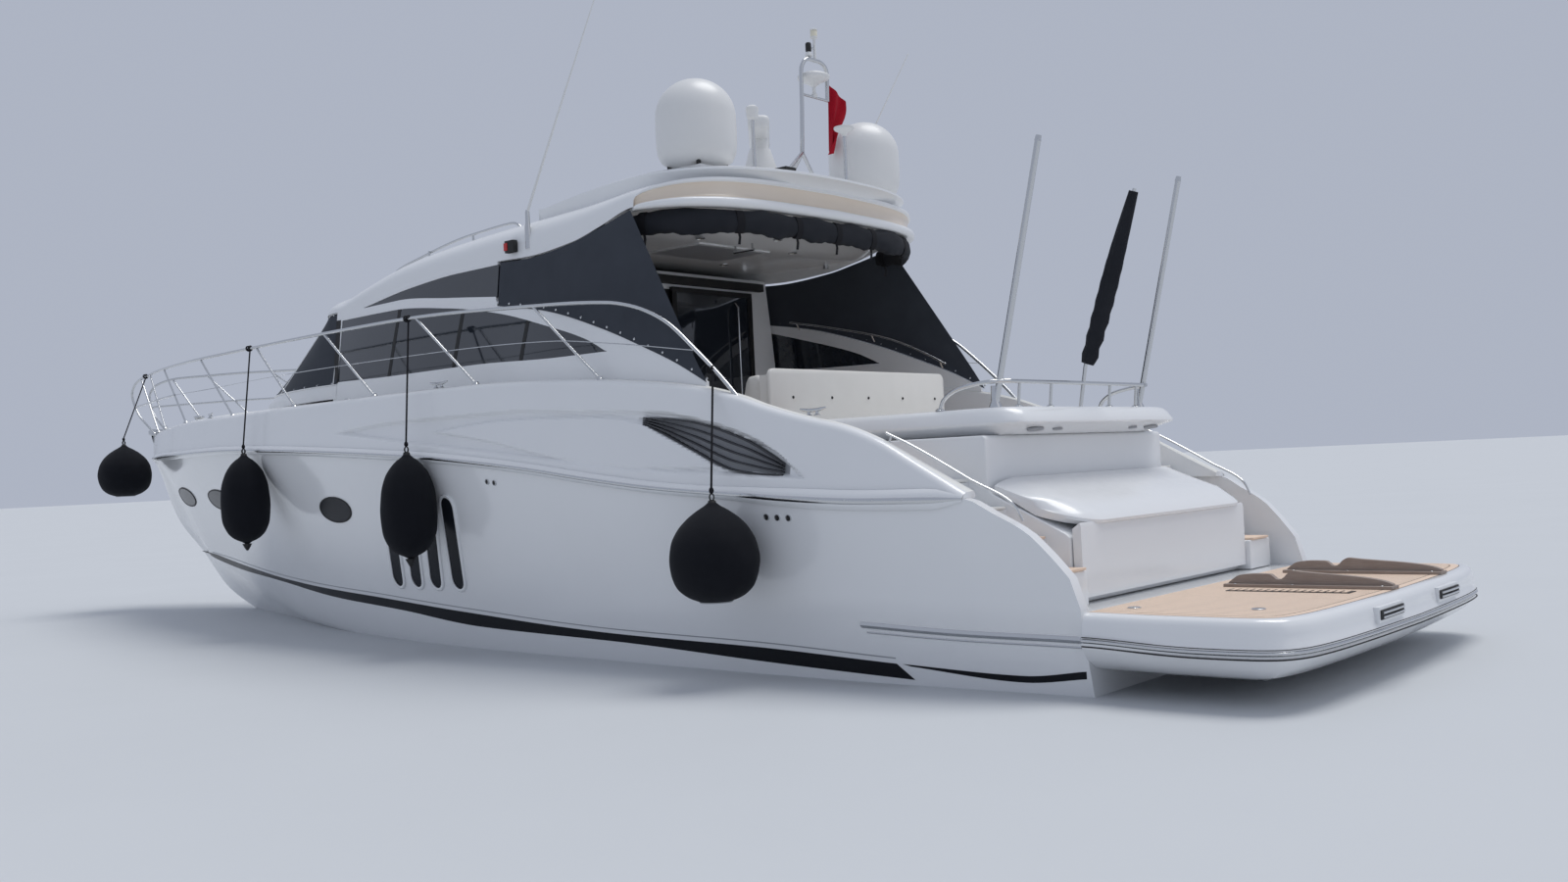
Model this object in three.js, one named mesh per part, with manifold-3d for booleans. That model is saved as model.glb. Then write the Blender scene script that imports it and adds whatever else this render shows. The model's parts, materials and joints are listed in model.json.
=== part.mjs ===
// Motor yacht afloat: +X to the bow, +Y to port, +Z up, millimetres, origin on the waterline amidships.
// The tables below are in metres, x counted forward from the aft edge of the swim platform.
import * as THREE from "three";
import Module from "manifold-3d";

const wasm = await Module();
wasm.setup();

const AMIDSHIPS = 9.0;
const GAP = 0.0004;
const root = new THREE.Group();

// Colour, roughness and metalness of each kind of surface in the photograph
const LOOKS = {
  gelcoat: { color: 0xe6e8ea, roughness: 0.2, metalness: 0 },
  deck: { color: 0xe4e4e0, roughness: 0.3, metalness: 0 },
  trim: { color: 0xc8cacc, roughness: 0.25, metalness: 0.6 },
  teak: { color: 0xcdb29c, roughness: 0.7, metalness: 0 },
  timber: { color: 0x87796f, roughness: 0.65, metalness: 0 },
  vinyl: { color: 0xdcd8cf, roughness: 0.5, metalness: 0 },
  steel: { color: 0xbfc2c4, roughness: 0.15, metalness: 1 },
  glass: { color: 0x1a1f26, roughness: 0.05, metalness: 0 },
  screen: { color: 0x2c3240, roughness: 0.8, metalness: 0 },
  curtain: { color: 0x353b47, roughness: 0.85, metalness: 0 },
  canvas: { color: 0x1c2026, roughness: 0.9, metalness: 0 },
  acrylic: { color: 0x202428, roughness: 0.1, metalness: 0 },
  dome: { color: 0xdcdcda, roughness: 0.4, metalness: 0 },
  knit: { color: 0x0a0e18, roughness: 0.95, metalness: 0 },
  bronze: { color: 0xa87c40, roughness: 0.35, metalness: 1 },
  louvre: { color: 0x73767c, roughness: 0.5, metalness: 0 },
};

// Metres in the tables' frame to millimetres in the part's frame
const mm = ([x, y, z]) => [(x - AMIDSHIPS) * 1000, y * 1000, z * 1000];
const flipY = (points) => points.map(([x, y, z]) => [x, -y, z]);

// Value of a table of [x, value] rows at x
function at(table, x, column = 1) {
  if (x <= table[0][0]) return table[0][column];
  for (let i = 1; i < table.length; i++) {
    const [a, b] = [table[i - 1], table[i]];
    if (x <= b[0]) {
      const t = (x - a[0]) / (b[0] - a[0]);
      return a[column] + (b[column] - a[column]) * t;
    }
  }
  return table[table.length - 1][column];
}

// A closed solid from points in metres and triangles, facing out
function solid(points, triangles) {
  const keys = new Map();
  const verts = [];
  const index = points.map((p) => {
    const q = mm(p).map((v) => Math.round(v * 1000) / 1000);
    const key = q.join(",");
    if (!keys.has(key)) {
      keys.set(key, verts.length / 3);
      verts.push(...q);
    }
    return keys.get(key);
  });
  const tris = [];
  let volume = 0;
  for (const t of triangles) {
    const [a, b, c] = t.map((i) => index[i]);
    if (a === b || b === c || c === a) continue;
    tris.push(a, b, c);
    const v = (i) => verts.slice(3 * i, 3 * i + 3);
    const [p, q, r] = [v(a), v(b), v(c)];
    volume +=
      p[0] * (q[1] * r[2] - q[2] * r[1]) +
      p[1] * (q[2] * r[0] - q[0] * r[2]) +
      p[2] * (q[0] * r[1] - q[1] * r[0]);
  }
  if (volume < 0)
    for (let i = 0; i < tris.length; i += 3)
      [tris[i + 1], tris[i + 2]] = [tris[i + 2], tris[i + 1]];
  return new wasm.Manifold(
    new wasm.Mesh({
      numProp: 3,
      vertProperties: new Float32Array(verts),
      triVerts: new Uint32Array(tris),
    }),
  );
}

// Triangles that close a ring, found in the plane the ring lies nearest to
function capOf(ring, offset) {
  const n = new THREE.Vector3();
  ring.forEach((p, i) => {
    const q = ring[(i + 1) % ring.length];
    n.x += (p[1] - q[1]) * (p[2] + q[2]);
    n.y += (p[2] - q[2]) * (p[0] + q[0]);
    n.z += (p[0] - q[0]) * (p[1] + q[1]);
  });
  const size = [Math.abs(n.x), Math.abs(n.y), Math.abs(n.z)];
  const drop = size.indexOf(Math.max(...size));
  const keep = [0, 1, 2].filter((k) => k !== drop);
  const flat = ring.map((p) => new THREE.Vector2(p[keep[0]], p[keep[1]]));
  const faces = THREE.ShapeUtils.triangulateShape(flat, []);
  const whole = faces.length === ring.length - 2;
  const fan = ring.slice(2).map((_, i) => [0, i + 1, i + 2]);
  return (whole ? faces : fan).map((f) => f.map((i) => i + offset));
}

// A solid through rings of equal count, closed at both ends
function loft(rings) {
  const n = rings[0].length;
  const points = rings.flat();
  const tris = [];
  for (let r = 0; r + 1 < rings.length; r++)
    for (let i = 0; i < n; i++) {
      const j = (i + 1) % n;
      const [a, b] = [r * n + i, r * n + j];
      const [c, d] = [a + n, b + n];
      tris.push([a, b, d], [a, d, c]);
    }
  const last = (rings.length - 1) * n;
  const first = capOf(rings[0], 0);
  const end = capOf(rings[rings.length - 1], last);
  return solid(points, orient(tris, first, end, n, last));
}

// Turns the two caps to agree with the sides, edge by edge
function orient(sides, first, end, n, last) {
  const has = (faces, a, b) =>
    faces.some((f) =>
      f.some((v, i) => v === a && f[(i + 1) % 3] === b),
    );
  const fix = (faces, a, b) =>
    has(faces, a, b) ? faces.map((f) => [...f].reverse()) : faces;
  return [...sides, ...fix(first, 0, 1), ...fix(end, last + 1, last)];
}

const union = (parts) => parts.reduce((a, b) => a.add(b));
const mirror = (s) => s.mirror([0, 1, 0]);
const largest = (made) => made.decompose().sort((a, b) => b.volume() - a.volume())[0];

// Cuts the others out of a piece with a hair of clearance on every side
const CLEAR_MM = 0.35;
const SIMPLIFY_MM = 0.1;
function clear(made, ...others) {
  const steps = [-CLEAR_MM, CLEAR_MM];
  let left = made;
  for (const other of others)
    for (const axis of [0, 1, 2])
      for (const step of steps) {
        const shift = [0, 0, 0];
        shift[axis] = step;
        left = left.subtract(other.translate(shift));
      }
  return largest(left.simplify(SIMPLIFY_MM));
}

// Outline drawn in by d on every edge
function inset(outline, d) {
  const n = outline.length;
  const area = outline.reduce((sum, [x, z], i) => {
    const [u, v] = outline[(i + 1) % n];
    return sum + x * v - u * z;
  }, 0);
  const turn = area > 0 ? 1 : -1;
  const normal = (a, b) => {
    const l = Math.hypot(b[0] - a[0], b[1] - a[1]);
    return [(-turn * (b[1] - a[1])) / l, (turn * (b[0] - a[0])) / l];
  };
  return outline.map((p, i) => {
    const m = normal(outline[(i + n - 1) % n], p);
    const k = normal(p, outline[(i + 1) % n]);
    const f = d / Math.max(0.2, 1 + m[0] * k[0] + m[1] * k[1]);
    return [p[0] + (m[0] + k[0]) * f, p[1] + (m[1] + k[1]) * f];
  });
}

// The solid inside a closed three.js geometry in metres
function solidOf(geometry) {
  const place = geometry.getAttribute("position");
  const points = Array.from({ length: place.count }, (_, i) => [place.getX(i), place.getY(i), place.getZ(i)]);
  const order = geometry.index ? Array.from(geometry.index.array) : points.map((_, i) => i);
  const triangles = Array.from({ length: order.length / 3 }, (_, i) => order.slice(3 * i, 3 * i + 3));
  return solid(points, triangles);
}

const box = (x0, x1, y0, y1, z0, z1) =>
  solidOf(
    new THREE.BoxGeometry(x1 - x0, y1 - y0, z1 - z0).translate((x0 + x1) / 2, (y0 + y1) / 2, (z0 + z1) / 2),
  );

const shapeOf = (outline) => new THREE.Shape(outline.map(([u, v]) => new THREE.Vector2(u, v)));
const drawnOut = (outline, depth) =>
  new THREE.ExtrudeGeometry(shapeOf(outline), { depth, steps: 1, bevelEnabled: false });
// Outline in x and z, drawn out along y
const sidePrism = (outline, y0, y1) =>
  solidOf(drawnOut(outline, y1 - y0).rotateX(Math.PI / 2).translate(0, y1, 0));
// Outline in x and y, drawn out along z
const planPrism = (outline, z0, z1) => solidOf(drawnOut(outline, z1 - z0).translate(0, 0, z0));

// Round solid about a vertical axis from [radius, height] rows
function turned(x, y, rows, n = 16) {
  const ends = [[0, rows[0][1]], ...rows, [0, rows[rows.length - 1][1]]];
  const profile = ends.map(([r, z]) => new THREE.Vector2(r, z));
  return solidOf(new THREE.LatheGeometry(profile, n).rotateX(Math.PI / 2).translate(x, y, 0));
}

// A path of straight runs with one point for each step of an extrusion
class Runs extends THREE.Curve {
  constructor(points) {
    super();
    this.points = points.map((p) => new THREE.Vector3(...p));
  }
  getPointAt(share) {
    return this.points[Math.round(share * (this.points.length - 1))].clone();
  }
  getTangentAt(share) {
    const i = Math.round(share * (this.points.length - 1));
    const [before, after] = [Math.max(0, i - 1), Math.min(this.points.length - 1, i + 1)];
    const way = new THREE.Vector3();
    for (let k = before; k < after; k++) way.add(this.points[k + 1].clone().sub(this.points[k]).normalize());
    return way.normalize();
  }
}

// Tube of radius r through points, closed at both ends
function tube(path, r, n = 6) {
  const section = Array.from({ length: n }, (_, k) => {
    const a = (2 * Math.PI * k) / n;
    return [r * Math.cos(a), r * Math.sin(a)];
  });
  const run = { extrudePath: new Runs(path), steps: path.length - 1, bevelEnabled: false };
  return solidOf(new THREE.ExtrudeGeometry(shapeOf(section), run));
}

function node(name, made, look) {
  const mesh = made.getMesh();
  const count = mesh.numProp;
  const total = mesh.vertProperties.length / count;
  const position = new Float32Array(total * 3);
  for (let i = 0; i < total; i++)
    position.set(mesh.vertProperties.subarray(i * count, i * count + 3), i * 3);
  const geometry = new THREE.BufferGeometry();
  geometry.setAttribute("position", new THREE.BufferAttribute(position, 3));
  geometry.setIndex(new THREE.BufferAttribute(new Uint32Array(mesh.triVerts), 1));
  const m = new THREE.Mesh(geometry, new THREE.MeshStandardMaterial(LOOKS[look]));
  m.name = name;
  root.add(m);
}

// Lines of the hull and deck

const RAIL_Z = [[1.5, 0.57], [1.53, 0.71], [1.61, 0.83], [1.74, 0.98], [1.82, 1.06], [2.05, 1.2],
  [2.25, 1.3], [3.04, 1.31], [3.63, 1.34], [4.15, 1.38], [4.99, 1.45], [5.72, 1.54], [6.5, 1.65],
  [7.26, 1.74], [7.88, 1.8], [8.68, 1.86], [9.59, 1.92], [10.89, 1.99], [12.33, 2.04], [14.07, 2.06],
  [17.5, 2.1]];
const DECK_Z = [[2.25, 1.34], [2.66, 1.56], [2.98, 1.73], [3.27, 1.84], [3.6, 1.92], [3.99, 2.03],
  [4.22, 2.11], [4.67, 2.22], [5.25, 2.3], [6.27, 2.39], [7.43, 2.43], [12.16, 2.44],
  [13.99, 2.47], [17.6, 2.45]];
const KEEL_Z = [[1.5, -0.6], [4, -0.7], [8, -0.78], [11, -0.75], [12.5, -0.63], [13.5, -0.44], [14.2, -0.24],
  [14.81, -0.02], [15.57, 0.28], [16.2, 0.76], [16.89, 1.24], [17.25, 1.74], [17.4, 2.02], [17.5, 2.08]];
const CHINE_Y = [[1.5, 1.82], [3.3, 1.87], [5.84, 1.79], [8.1, 1.67], [10, 1.42], [10.7, 1.29], [12, 0.98],
  [13.5, 0.57], [14.8, 0.26], [15.6, 0.12], [16.2, 0.06], [16.89, 0.035], [17.25, 0.025], [17.5, 0.012]];
const CHINE_Z = [[1.5, -0.14], [3.3, -0.14], [5.84, -0.1], [8.1, -0.06], [10, -0.02], [10.7, 0], [12, 0.07],
  [13.5, 0.22], [14.8, 0.42], [15.6, 0.6], [16.2, 0.95], [16.89, 1.36], [17.25, 1.82], [17.5, 2.085]];
const KNUCKLE_Z = [[1.5, 0.56], [3.4, 0.57], [4.5, 0.52], [5.7, 0.43], [7, 0.34], [10, 0.42], [12, 0.6],
  [14, 0.95], [16, 1.3], [17.25, 1.95], [17.5, 2.09]];

const railY = (x) =>
  x < 7 ? 2.24 - 0.11 * ((7 - x) / 5.2) ** 2 : Math.max(0.02, 2.24 * (1 - ((x - 7) / 10.5) ** 2.5));
const deckY = (x) => Math.max(0.015, railY(x) - at([[2.25, 0.02], [3.2, 0.1], [14, 0.12], [17.5, 0.004]], x));
const wingY = (x) => railY(x) - at([[1.5, 0.12], [2.25, 0.0]], x);
const topY = (x) => (x < 2.25 ? wingY(x) : railY(x));
const SOLE_Z = 1.3;
const PLATFORM_Z = 0.55;
// Top of the solid hull: low under the garage, at the sole under the house, at the strake forward
function hullLid(x) {
  const strake = at(RAIL_Z, x) - 0.01;
  if (x < 3.4) return PLATFORM_Z - 0.02;
  return x < 10.6 ? Math.min(SOLE_Z, strake) : strake;
}

const chineLip = (x) => at([[12, 0.03], [17, 0.002]], x);

// Half breadth of the hull side at height z
function sideY(x, z) {
  const [yc, zc] = [at(CHINE_Y, x), at(CHINE_Z, x)];
  const [yr, zr] = [topY(x), at(RAIL_Z, x)];
  const t = Math.min(1, Math.max(0, (z - zc) / Math.max(0.001, zr - zc)));
  const flare = at([[6, 0], [10, 0.03], [14, 0.12], [16.5, 0.06], [17.5, 0]], x);
  const lip = chineLip(x);
  return yc + lip + (yr - yc - lip) * t - flare * 4 * t * (1 - t);
}

function hullRing(x) {
  const [zk, yc, zc] = [at(KEEL_Z, x), at(CHINE_Y, x), at(CHINE_Z, x)];
  const [yr, zr, zl] = [topY(x), at(RAIL_Z, x), hullLid(x)];
  const zn = at(KNUCKLE_Z, x);
  const zm = (zn + zr) / 2;
  const wall = Math.min(0.1, yr * 0.5);
  // The foot of the inner wall stays inside the flared side
  const wallFoot = Math.min(yr - wall * 1.1, sideY(x, zl) - wall * 0.4);
  const half = [
    [x, Math.min(0.03, yc * 0.4), zk],
    [x, yc * 0.55, zk + (zc - zk) * 0.5],
    [x, yc, zc],
    [x, yc + chineLip(x), zc + 0.3 * chineLip(x)],
    [x, sideY(x, zn), zn],
    [x, sideY(x, zm), zm],
    [x, yr, zr],
    [x, yr - wall, zr],
    [x, wallFoot, zl],
  ];
  return [...half, ...flipY(half).reverse()];
}

// Stations that hull, deck and strake share, so that their seams agree
const SIDE_X = [2.25, 2.66, 2.98, 3.27, 3.41, 3.63, 3.99, 4.22, 4.67, 5.25, 5.72, 6.27, 7.0, 7.43, 8.1, 8.7,
  9.6, 10.59];
const FORE_X = [10.61, 11.2, 11.8, 12.4, 13, 13.6, 14.2, 14.81, 15.57, 16.2, 16.89, 17.25, 17.4, 17.5];
const HULL_X = [1.5, 1.53, 1.61, 1.82, ...SIDE_X.slice(0, 4), 3.39, ...SIDE_X.slice(4), ...FORE_X];
let hull = loft(HULL_X.map(hullRing));

// Running gear: shaft brackets stand on the hull, shafts and rudder stocks run in its bores
const SHAFT_Y = 0.86;
const SHAFT_SLOPE = 0.15;
const PROP = [2.62, SHAFT_Y, -0.84];
const shaftAt = (x) => [x, SHAFT_Y, PROP[2] + (x - PROP[0]) * SHAFT_SLOPE];
const RUDDER = [1.95, SHAFT_Y];
const SHAFT_R = 0.032;
const STOCK_R = 0.034;
// Many-sided bearings, so that a turning shaft keeps its running gap
const BEARING_SIDES = 24;
const boreFor = (r) => (r + 0.0003) / Math.cos(Math.PI / BEARING_SIDES);
for (const side of [1, -1]) {
  const put = (s) => (side > 0 ? s : mirror(s));
  const barrel = tube([shaftAt(2.9), shaftAt(3.12)], 0.065, 12);
  const strut = loft([
    [[2.95, 0.845, -0.25], [3.1, 0.83, -0.25], [3.1, 0.89, -0.25], [2.95, 0.875, -0.25]],
    [[2.93, 0.845, -0.78], [3.07, 0.84, -0.78], [3.07, 0.88, -0.78], [2.93, 0.875, -0.78]],
  ]);
  hull = hull.add(put(barrel.add(strut)));
  const stockBore = boreFor(STOCK_R);
  hull = hull.subtract(put(tube([shaftAt(2.6), shaftAt(5.55)], boreFor(SHAFT_R), BEARING_SIDES)));
  hull = hull.subtract(put(turned(...RUDDER, [[stockBore, -1], [stockBore, -0.1]], BEARING_SIDES)));
}

// Portholes and slot windows are sunk into the side; each slot leans from its foot to its head
const SLOTS = [[8.985, 8.78], [8.633, 8.426], [8.287, 8.09], [7.917, 7.78]];
const SLOT_HALF = 0.085;
const SLOT_Z = [0.62, 1.39];
function sideCut(outline, depth) {
  const xs = outline.map((p) => p[0]);
  const zs = outline.map((p) => p[1]);
  const [x0, x1] = [Math.min(...xs) - 0.1, Math.max(...xs) + 0.1];
  const [z0, z1] = [Math.min(...zs) - 0.05, Math.max(...zs) + 0.05];
  const ring = (x) => [
    [x, sideY(x, z0) - depth, z0],
    [x, sideY(x, z0) + 0.3, z0],
    [x, sideY(x, z1) + 0.3, z1],
    [x, sideY(x, z1) - depth, z1],
  ];
  return loft([ring(x0), ring((x0 + x1) / 2), ring(x1)]).intersect(sidePrism(outline, 0.1, 3));
}
const ellipse = (x, z, a, b, n = 12) =>
  Array.from({ length: n }, (_, i) => {
    const t = (2 * Math.PI * i) / n;
    return [x + a * Math.cos(t), z + b * Math.sin(t)];
  });
const PORTHOLES = [[15.3, 1.53, 0.46, 0.115], [13.42, 1.48, 0.46, 0.115], [9.85, 1.34, 0.32, 0.12]];
const slotOutline = ([foot, head]) => [
  [foot - SLOT_HALF, SLOT_Z[0]],
  [foot + SLOT_HALF, SLOT_Z[0]],
  [head + SLOT_HALF, SLOT_Z[1]],
  [head - SLOT_HALF, SLOT_Z[1]],
];
for (const outline of [...PORTHOLES.map((hole) => ellipse(...hole)), ...SLOTS.map(slotOutline)]) {
  const cut = sideCut(outline, 0.02);
  hull = hull.subtract(cut).subtract(mirror(cut));
}
node("hull", hull, "gelcoat");

// Deck moulding: topsides over the rubbing strake, side decks and foredeck
const upperY = (x, z) => {
  const [zr, zd] = [at(RAIL_Z, x), at(DECK_Z, x)];
  const t = Math.min(1, Math.max(0, (z - zr) / Math.max(0.001, zd - zr)));
  return railY(x) + (deckY(x) - railY(x)) * t;
};
const HOUSE_FOOT = [[2.25, 0.12], [3.5, 0.14], [4.6, 0.2], [6.5, 0.36], [8, 0.48], [10.6, 0.62]];
const innerY = (x) => railY(x) - at(HOUSE_FOOT, x);
function sideDeckRing(x) {
  const [zr, zd] = [at(RAIL_Z, x) + GAP, at(DECK_Z, x)];
  const zm = zr + (zd - zr) * 0.5;
  return [
    [x, railY(x), zr],
    [x, upperY(x, zm), zm],
    [x, deckY(x), zd - 0.015],
    [x, deckY(x) - 0.04, zd],
    [x, innerY(x) - 0.05, zd + 0.01],
    [x, innerY(x) - 0.05, zr],
  ];
}
const sideDeck = loft([...SIDE_X, FORE_X[0], FORE_X[1]].map(sideDeckRing));
function foreDeckRing(x) {
  const [zr, zd] = [at(RAIL_Z, x) + GAP, at(DECK_Z, x)];
  const zm = zr + (zd - zr) * 0.5;
  const crown = at([[10.5, 0.14], [13, 0.12], [16, 0.05], [17.6, 0.0]], x);
  const half = [
    [x, Math.max(0.01, railY(x)), zr],
    [x, upperY(x, zm), zm],
    [x, deckY(x), zd - 0.015],
    [x, deckY(x) * 0.97, zd],
    [x, deckY(x) * 0.6, zd + crown * 0.7],
    [x, deckY(x) * 0.25, zd + crown],
  ];
  return [...half, ...flipY(half).reverse()];
}
let deck = loft(FORE_X.map(foreDeckRing));
deck = union([deck, sideDeck, mirror(sideDeck), box(14.26, 14.94, -0.34, 0.34, 2.4, 2.58)]);

// Sculpted hollow in each topside with its louvred intake
function upperCut(outline, depth) {
  const ring = (x) => [
    [x, upperY(x, at(RAIL_Z, x)) - depth, at(RAIL_Z, x) - 0.01],
    [x, 2.6, at(RAIL_Z, x) - 0.01],
    [x, 2.6, at(DECK_Z, x)],
    [x, upperY(x, at(DECK_Z, x)) - depth, at(DECK_Z, x)],
  ];
  return loft(SIDE_X.slice(3).map(ring)).intersect(sidePrism(outline, 1, 3));
}
const HOLLOW = [[9.58, 2.1], [8.42, 2.16], [6.96, 2.16], [5.73, 2.09], [5.0, 2.04], [4.5, 1.94], [4.02, 1.78],
  [3.67, 1.56], [3.55, 1.47], [4.19, 1.51], [5.39, 1.6], [6.56, 1.74], [7.91, 1.9]];
const hollow = upperCut(HOLLOW, 0.03);
deck = deck.subtract(hollow).subtract(mirror(hollow));
const INTAKE = [[5.33, 2.02], [4.7, 1.95], [4.18, 1.8], [3.72, 1.55], [3.73, 1.5], [4.21, 1.54],
  [4.71, 1.74]];
const intakeHole = upperCut(INTAKE, 0.09);
deck = deck.subtract(intakeHole).subtract(mirror(intakeHole));
node("deck_moulding", deck, "deck");

function intake() {
  const shrink = inset(INTAKE, 0.0006);
  const back = upperCut(shrink, 0.0894).intersect(upperBand(-0.0894, -0.07));
  const blades = [];
  for (let k = 0; k < 4; k++) {
    const z0 = 1.56 + k * 0.11;
    const slat = [[3.5, z0 - 0.03], [5.6, z0 + 0.05], [5.6, z0 + 0.075], [3.5, z0 - 0.005]];
    blades.push(sidePrism(slat, 1.9, 2.3));
  }
  const fins = union(blades).intersect(upperCut(shrink, 0.0894)).intersect(upperBand(-0.088, -0.035));
  return clear(back.add(fins), deck);
}
function upperBand(from, to) {
  return loft(
    SIDE_X.slice(3, 12).map((x) => {
      const [za, zb] = [at(RAIL_Z, x) - 0.01, at(DECK_Z, x)];
      return [
        [x, upperY(x, za) + from, za],
        [x, upperY(x, za) + to, za],
        [x, upperY(x, zb) + to, zb],
        [x, upperY(x, zb) + from, zb],
      ];
    }),
  );
}
const grille = intake();
node("intake_grille_port", grille, "louvre");
node("intake_grille_starboard", clear(mirror(grille), deck), "louvre");

// Rubbing strake round the bow
const RUB_X = [...SIDE_X, ...FORE_X.slice(0, -2)];
const strakeDeep = (x) => at([[2.2, 0.1], [4.5, 0.1], [7, 0.075], [17.6, 0.06]], x);
function rubRing(x) {
  const [y, z, h] = [railY(x) + 0.0006, at(RAIL_Z, x), strakeDeep(x) / 2];
  return [[x, y, z - h], [x, y + 0.035, z - h * 0.6], [x, y + 0.035, z + h * 0.6], [x, y, z + h]];
}
const bowRing = (z) => [[17.56, 0, z - 0.03], [17.6, 0, z - 0.02], [17.6, 0, z + 0.02], [17.56, 0, z + 0.03]];
const rubHalf = RUB_X.map(rubRing);
const strake = loft([...rubHalf, bowRing(2.1), ...[...rubHalf].reverse().map(flipY)]);
node("rubbing_strake", strake, "trim");

// Swim platform with a teak deck and chocks for a tender
const PLATFORM = [[1.5 - GAP, 2.0], [0.95, 2.06], [0.4, 2.06], [0.2, 1.98], [0.12, 1.75], [0.05, 0.9],
  [0.03, 0]];
const outlineOf = (half, inset = 0) => {
  const cut = half.map(([x, y], i) => [x + (i && x < 1.4 ? inset : 0), Math.max(0, y - (y > 1 ? inset : 0))]);
  return [...cut, ...cut.slice(0, -1).reverse().map(([x, y]) => [x, -y])];
};
const rim = outlineOf(PLATFORM);
let platform = loft([
  outlineOf(PLATFORM, 0.3).map(([x, y]) => [x, y, 0.14]),
  outlineOf(PLATFORM, 0.04).map(([x, y]) => [x, y, 0.3]),
  rim.map(([x, y]) => [x, y, 0.33]),
  rim.map(([x, y]) => [x, y, 0.39]),
  outlineOf(PLATFORM, 0.03).map(([x, y]) => [x, y, 0.42]),
  outlineOf(PLATFORM, 0.03).map(([x, y]) => [x, y, PLATFORM_Z - 0.02]),
]);
for (const y of [0.35, -0.95]) platform = platform.subtract(box(-0.1, 0.22, y, y + 0.5, 0.41, 0.5));
node("swim_platform", platform, "gelcoat");
const teak = outlineOf(PLATFORM, 0.09).map(([x, y]) => [Math.max(x, 0.15), y]);
node("platform_deck", planPrism(teak, PLATFORM_Z - 0.02 + GAP, PLATFORM_Z), "teak");

// A plank with a low hump forward and a long one aft, each highest at its fore end
const CHOCK_CREST = [[0.18, 0.6], [0.36, 0.625], [0.84, 0.665], [0.9, 0.62], [0.94, 0.605], [1.0, 0.64],
  [1.22, 0.63], [1.28, 0.58]];
function chock(y) {
  const foot = box(0.16, 1.31, y - 0.07, y + 0.07, PLATFORM_Z + GAP, PLATFORM_Z + 0.02);
  const back = sidePrism([...CHOCK_CREST, [1.28, 0.56], [0.18, 0.56]], y - 0.025, y + 0.025);
  return foot.add(back);
}
node("tender_chock_port", chock(0.12), "timber");
node("tender_chock_starboard", chock(-1.03), "timber");

// Transom body with the tender garage, stairs on both sides and the sunpad base
const BODY_Y = 1.42;
const BODY_SIDE = [[1.86, 0.535], [1.86, 1.0], [2.5, 1.3], [2.5, 1.72], [4.95, 1.72], [4.95, SOLE_Z + 0.001],
  [3.42, SOLE_Z + 0.001], [3.42, 0.535]];
let body = sidePrism(BODY_SIDE, -BODY_Y, BODY_Y);
for (const side of [1, -1]) {
  const put = (s) => (side > 0 ? s : mirror(s));
  const steps = [[1.75, 0.78], [2.05, 0.99], [2.35, 1.2], [2.65, 1.4]];
  for (const [x, z] of steps) {
    const inner = BODY_Y - 0.01;
    const flight = planPrism([[x, inner], [3.5, inner], [3.5, 1.98], [2.25, 1.94], [x, 1.84]], 0.535, z);
    body = body.add(put(flight));
  }
  body = body.add(put(box(3.45, 4.95, BODY_Y - 0.01, 1.9, SOLE_Z + GAP, 1.4)));
}
body = body.subtract(box(1.8, 3.38, -1.15, 1.15, 0.6, 0.95));
body = body.subtract(box(2.2, 3.38, -1.15, 1.15, 0.9, 1.15));

// Door across the transom, hinged along its top edge between two lugs
const DOOR_HINGE = [2.47, 1.385];
const KNUCKLE_Y = 0.3;
const doorSide = (deep) => [
  [1.79 + deep, 0.575],
  [1.79 + deep, 1.1 - deep * 0.8],
  [2.44, 1.41 - deep],
];
const HINGE_R = 0.014;
const barAcross = (y0, y1) => tube([y0, y1].map((y) => [DOOR_HINGE[0], y, DOOR_HINGE[1]]), HINGE_R, 12);
const leaf = box(2.43, 2.466, -KNUCKLE_Y, KNUCKLE_Y, 1.375, 1.397);
const plate = sidePrism([...doorSide(0), ...doorSide(0.045).reverse()], -BODY_Y + 0.017, BODY_Y - 0.017);
const door = union([plate, barAcross(-KNUCKLE_Y, KNUCKLE_Y), leaf]);
for (const side of [1, -1]) {
  const edges = [KNUCKLE_Y + GAP, KNUCKLE_Y + 0.05].map((y) => y * side).sort((a, b) => a - b);
  body = union([body, barAcross(...edges), box(2.47, 2.51, ...edges, 1.375, 1.395)]);
}
body = clear(body, hull, deck);
node("transom_body", body, "deck");
node("garage_door", door, "deck");

const SUN_Z = 1.92;
const PAD_Z = 1.72 + GAP;
const sunpad = loft([
  [2.5, 1.3, PAD_Z],
  [2.23, 1.35, 1.79],
  [2.35, 1.3, SUN_Z],
].map(([x, y, z]) => [[x, y, z], [4.4, y, z], [4.4, -y, z], [x, -y, z]]));
node("sunpad_base", sunpad, "deck");

// Cockpit: sole, and the seat whose back closes the sunpad
const SOLE_TOP = 1.42;
node("cockpit_sole", clear(box(4.97, 7.05, -1.78, 1.78, SOLE_Z + GAP, SOLE_TOP), body, deck), "teak");
const SEAT_SIDE = [[4.4 + GAP, PAD_Z], [4.4 + GAP, 2.33], [4.56, 2.37], [4.82, 2.35], [4.97, 1.87],
  [5.42, 1.85], [5.42, SOLE_TOP + GAP], [4.95 + GAP, SOLE_TOP + GAP], [4.95 + GAP, PAD_Z]];
// The seat stops short of the starboard side, where the stairs lead in
const SEAT_Y = [-0.98, 1.5];
node("cockpit_seat", sidePrism(SEAT_SIDE, ...SEAT_Y), "vinyl");

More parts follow.
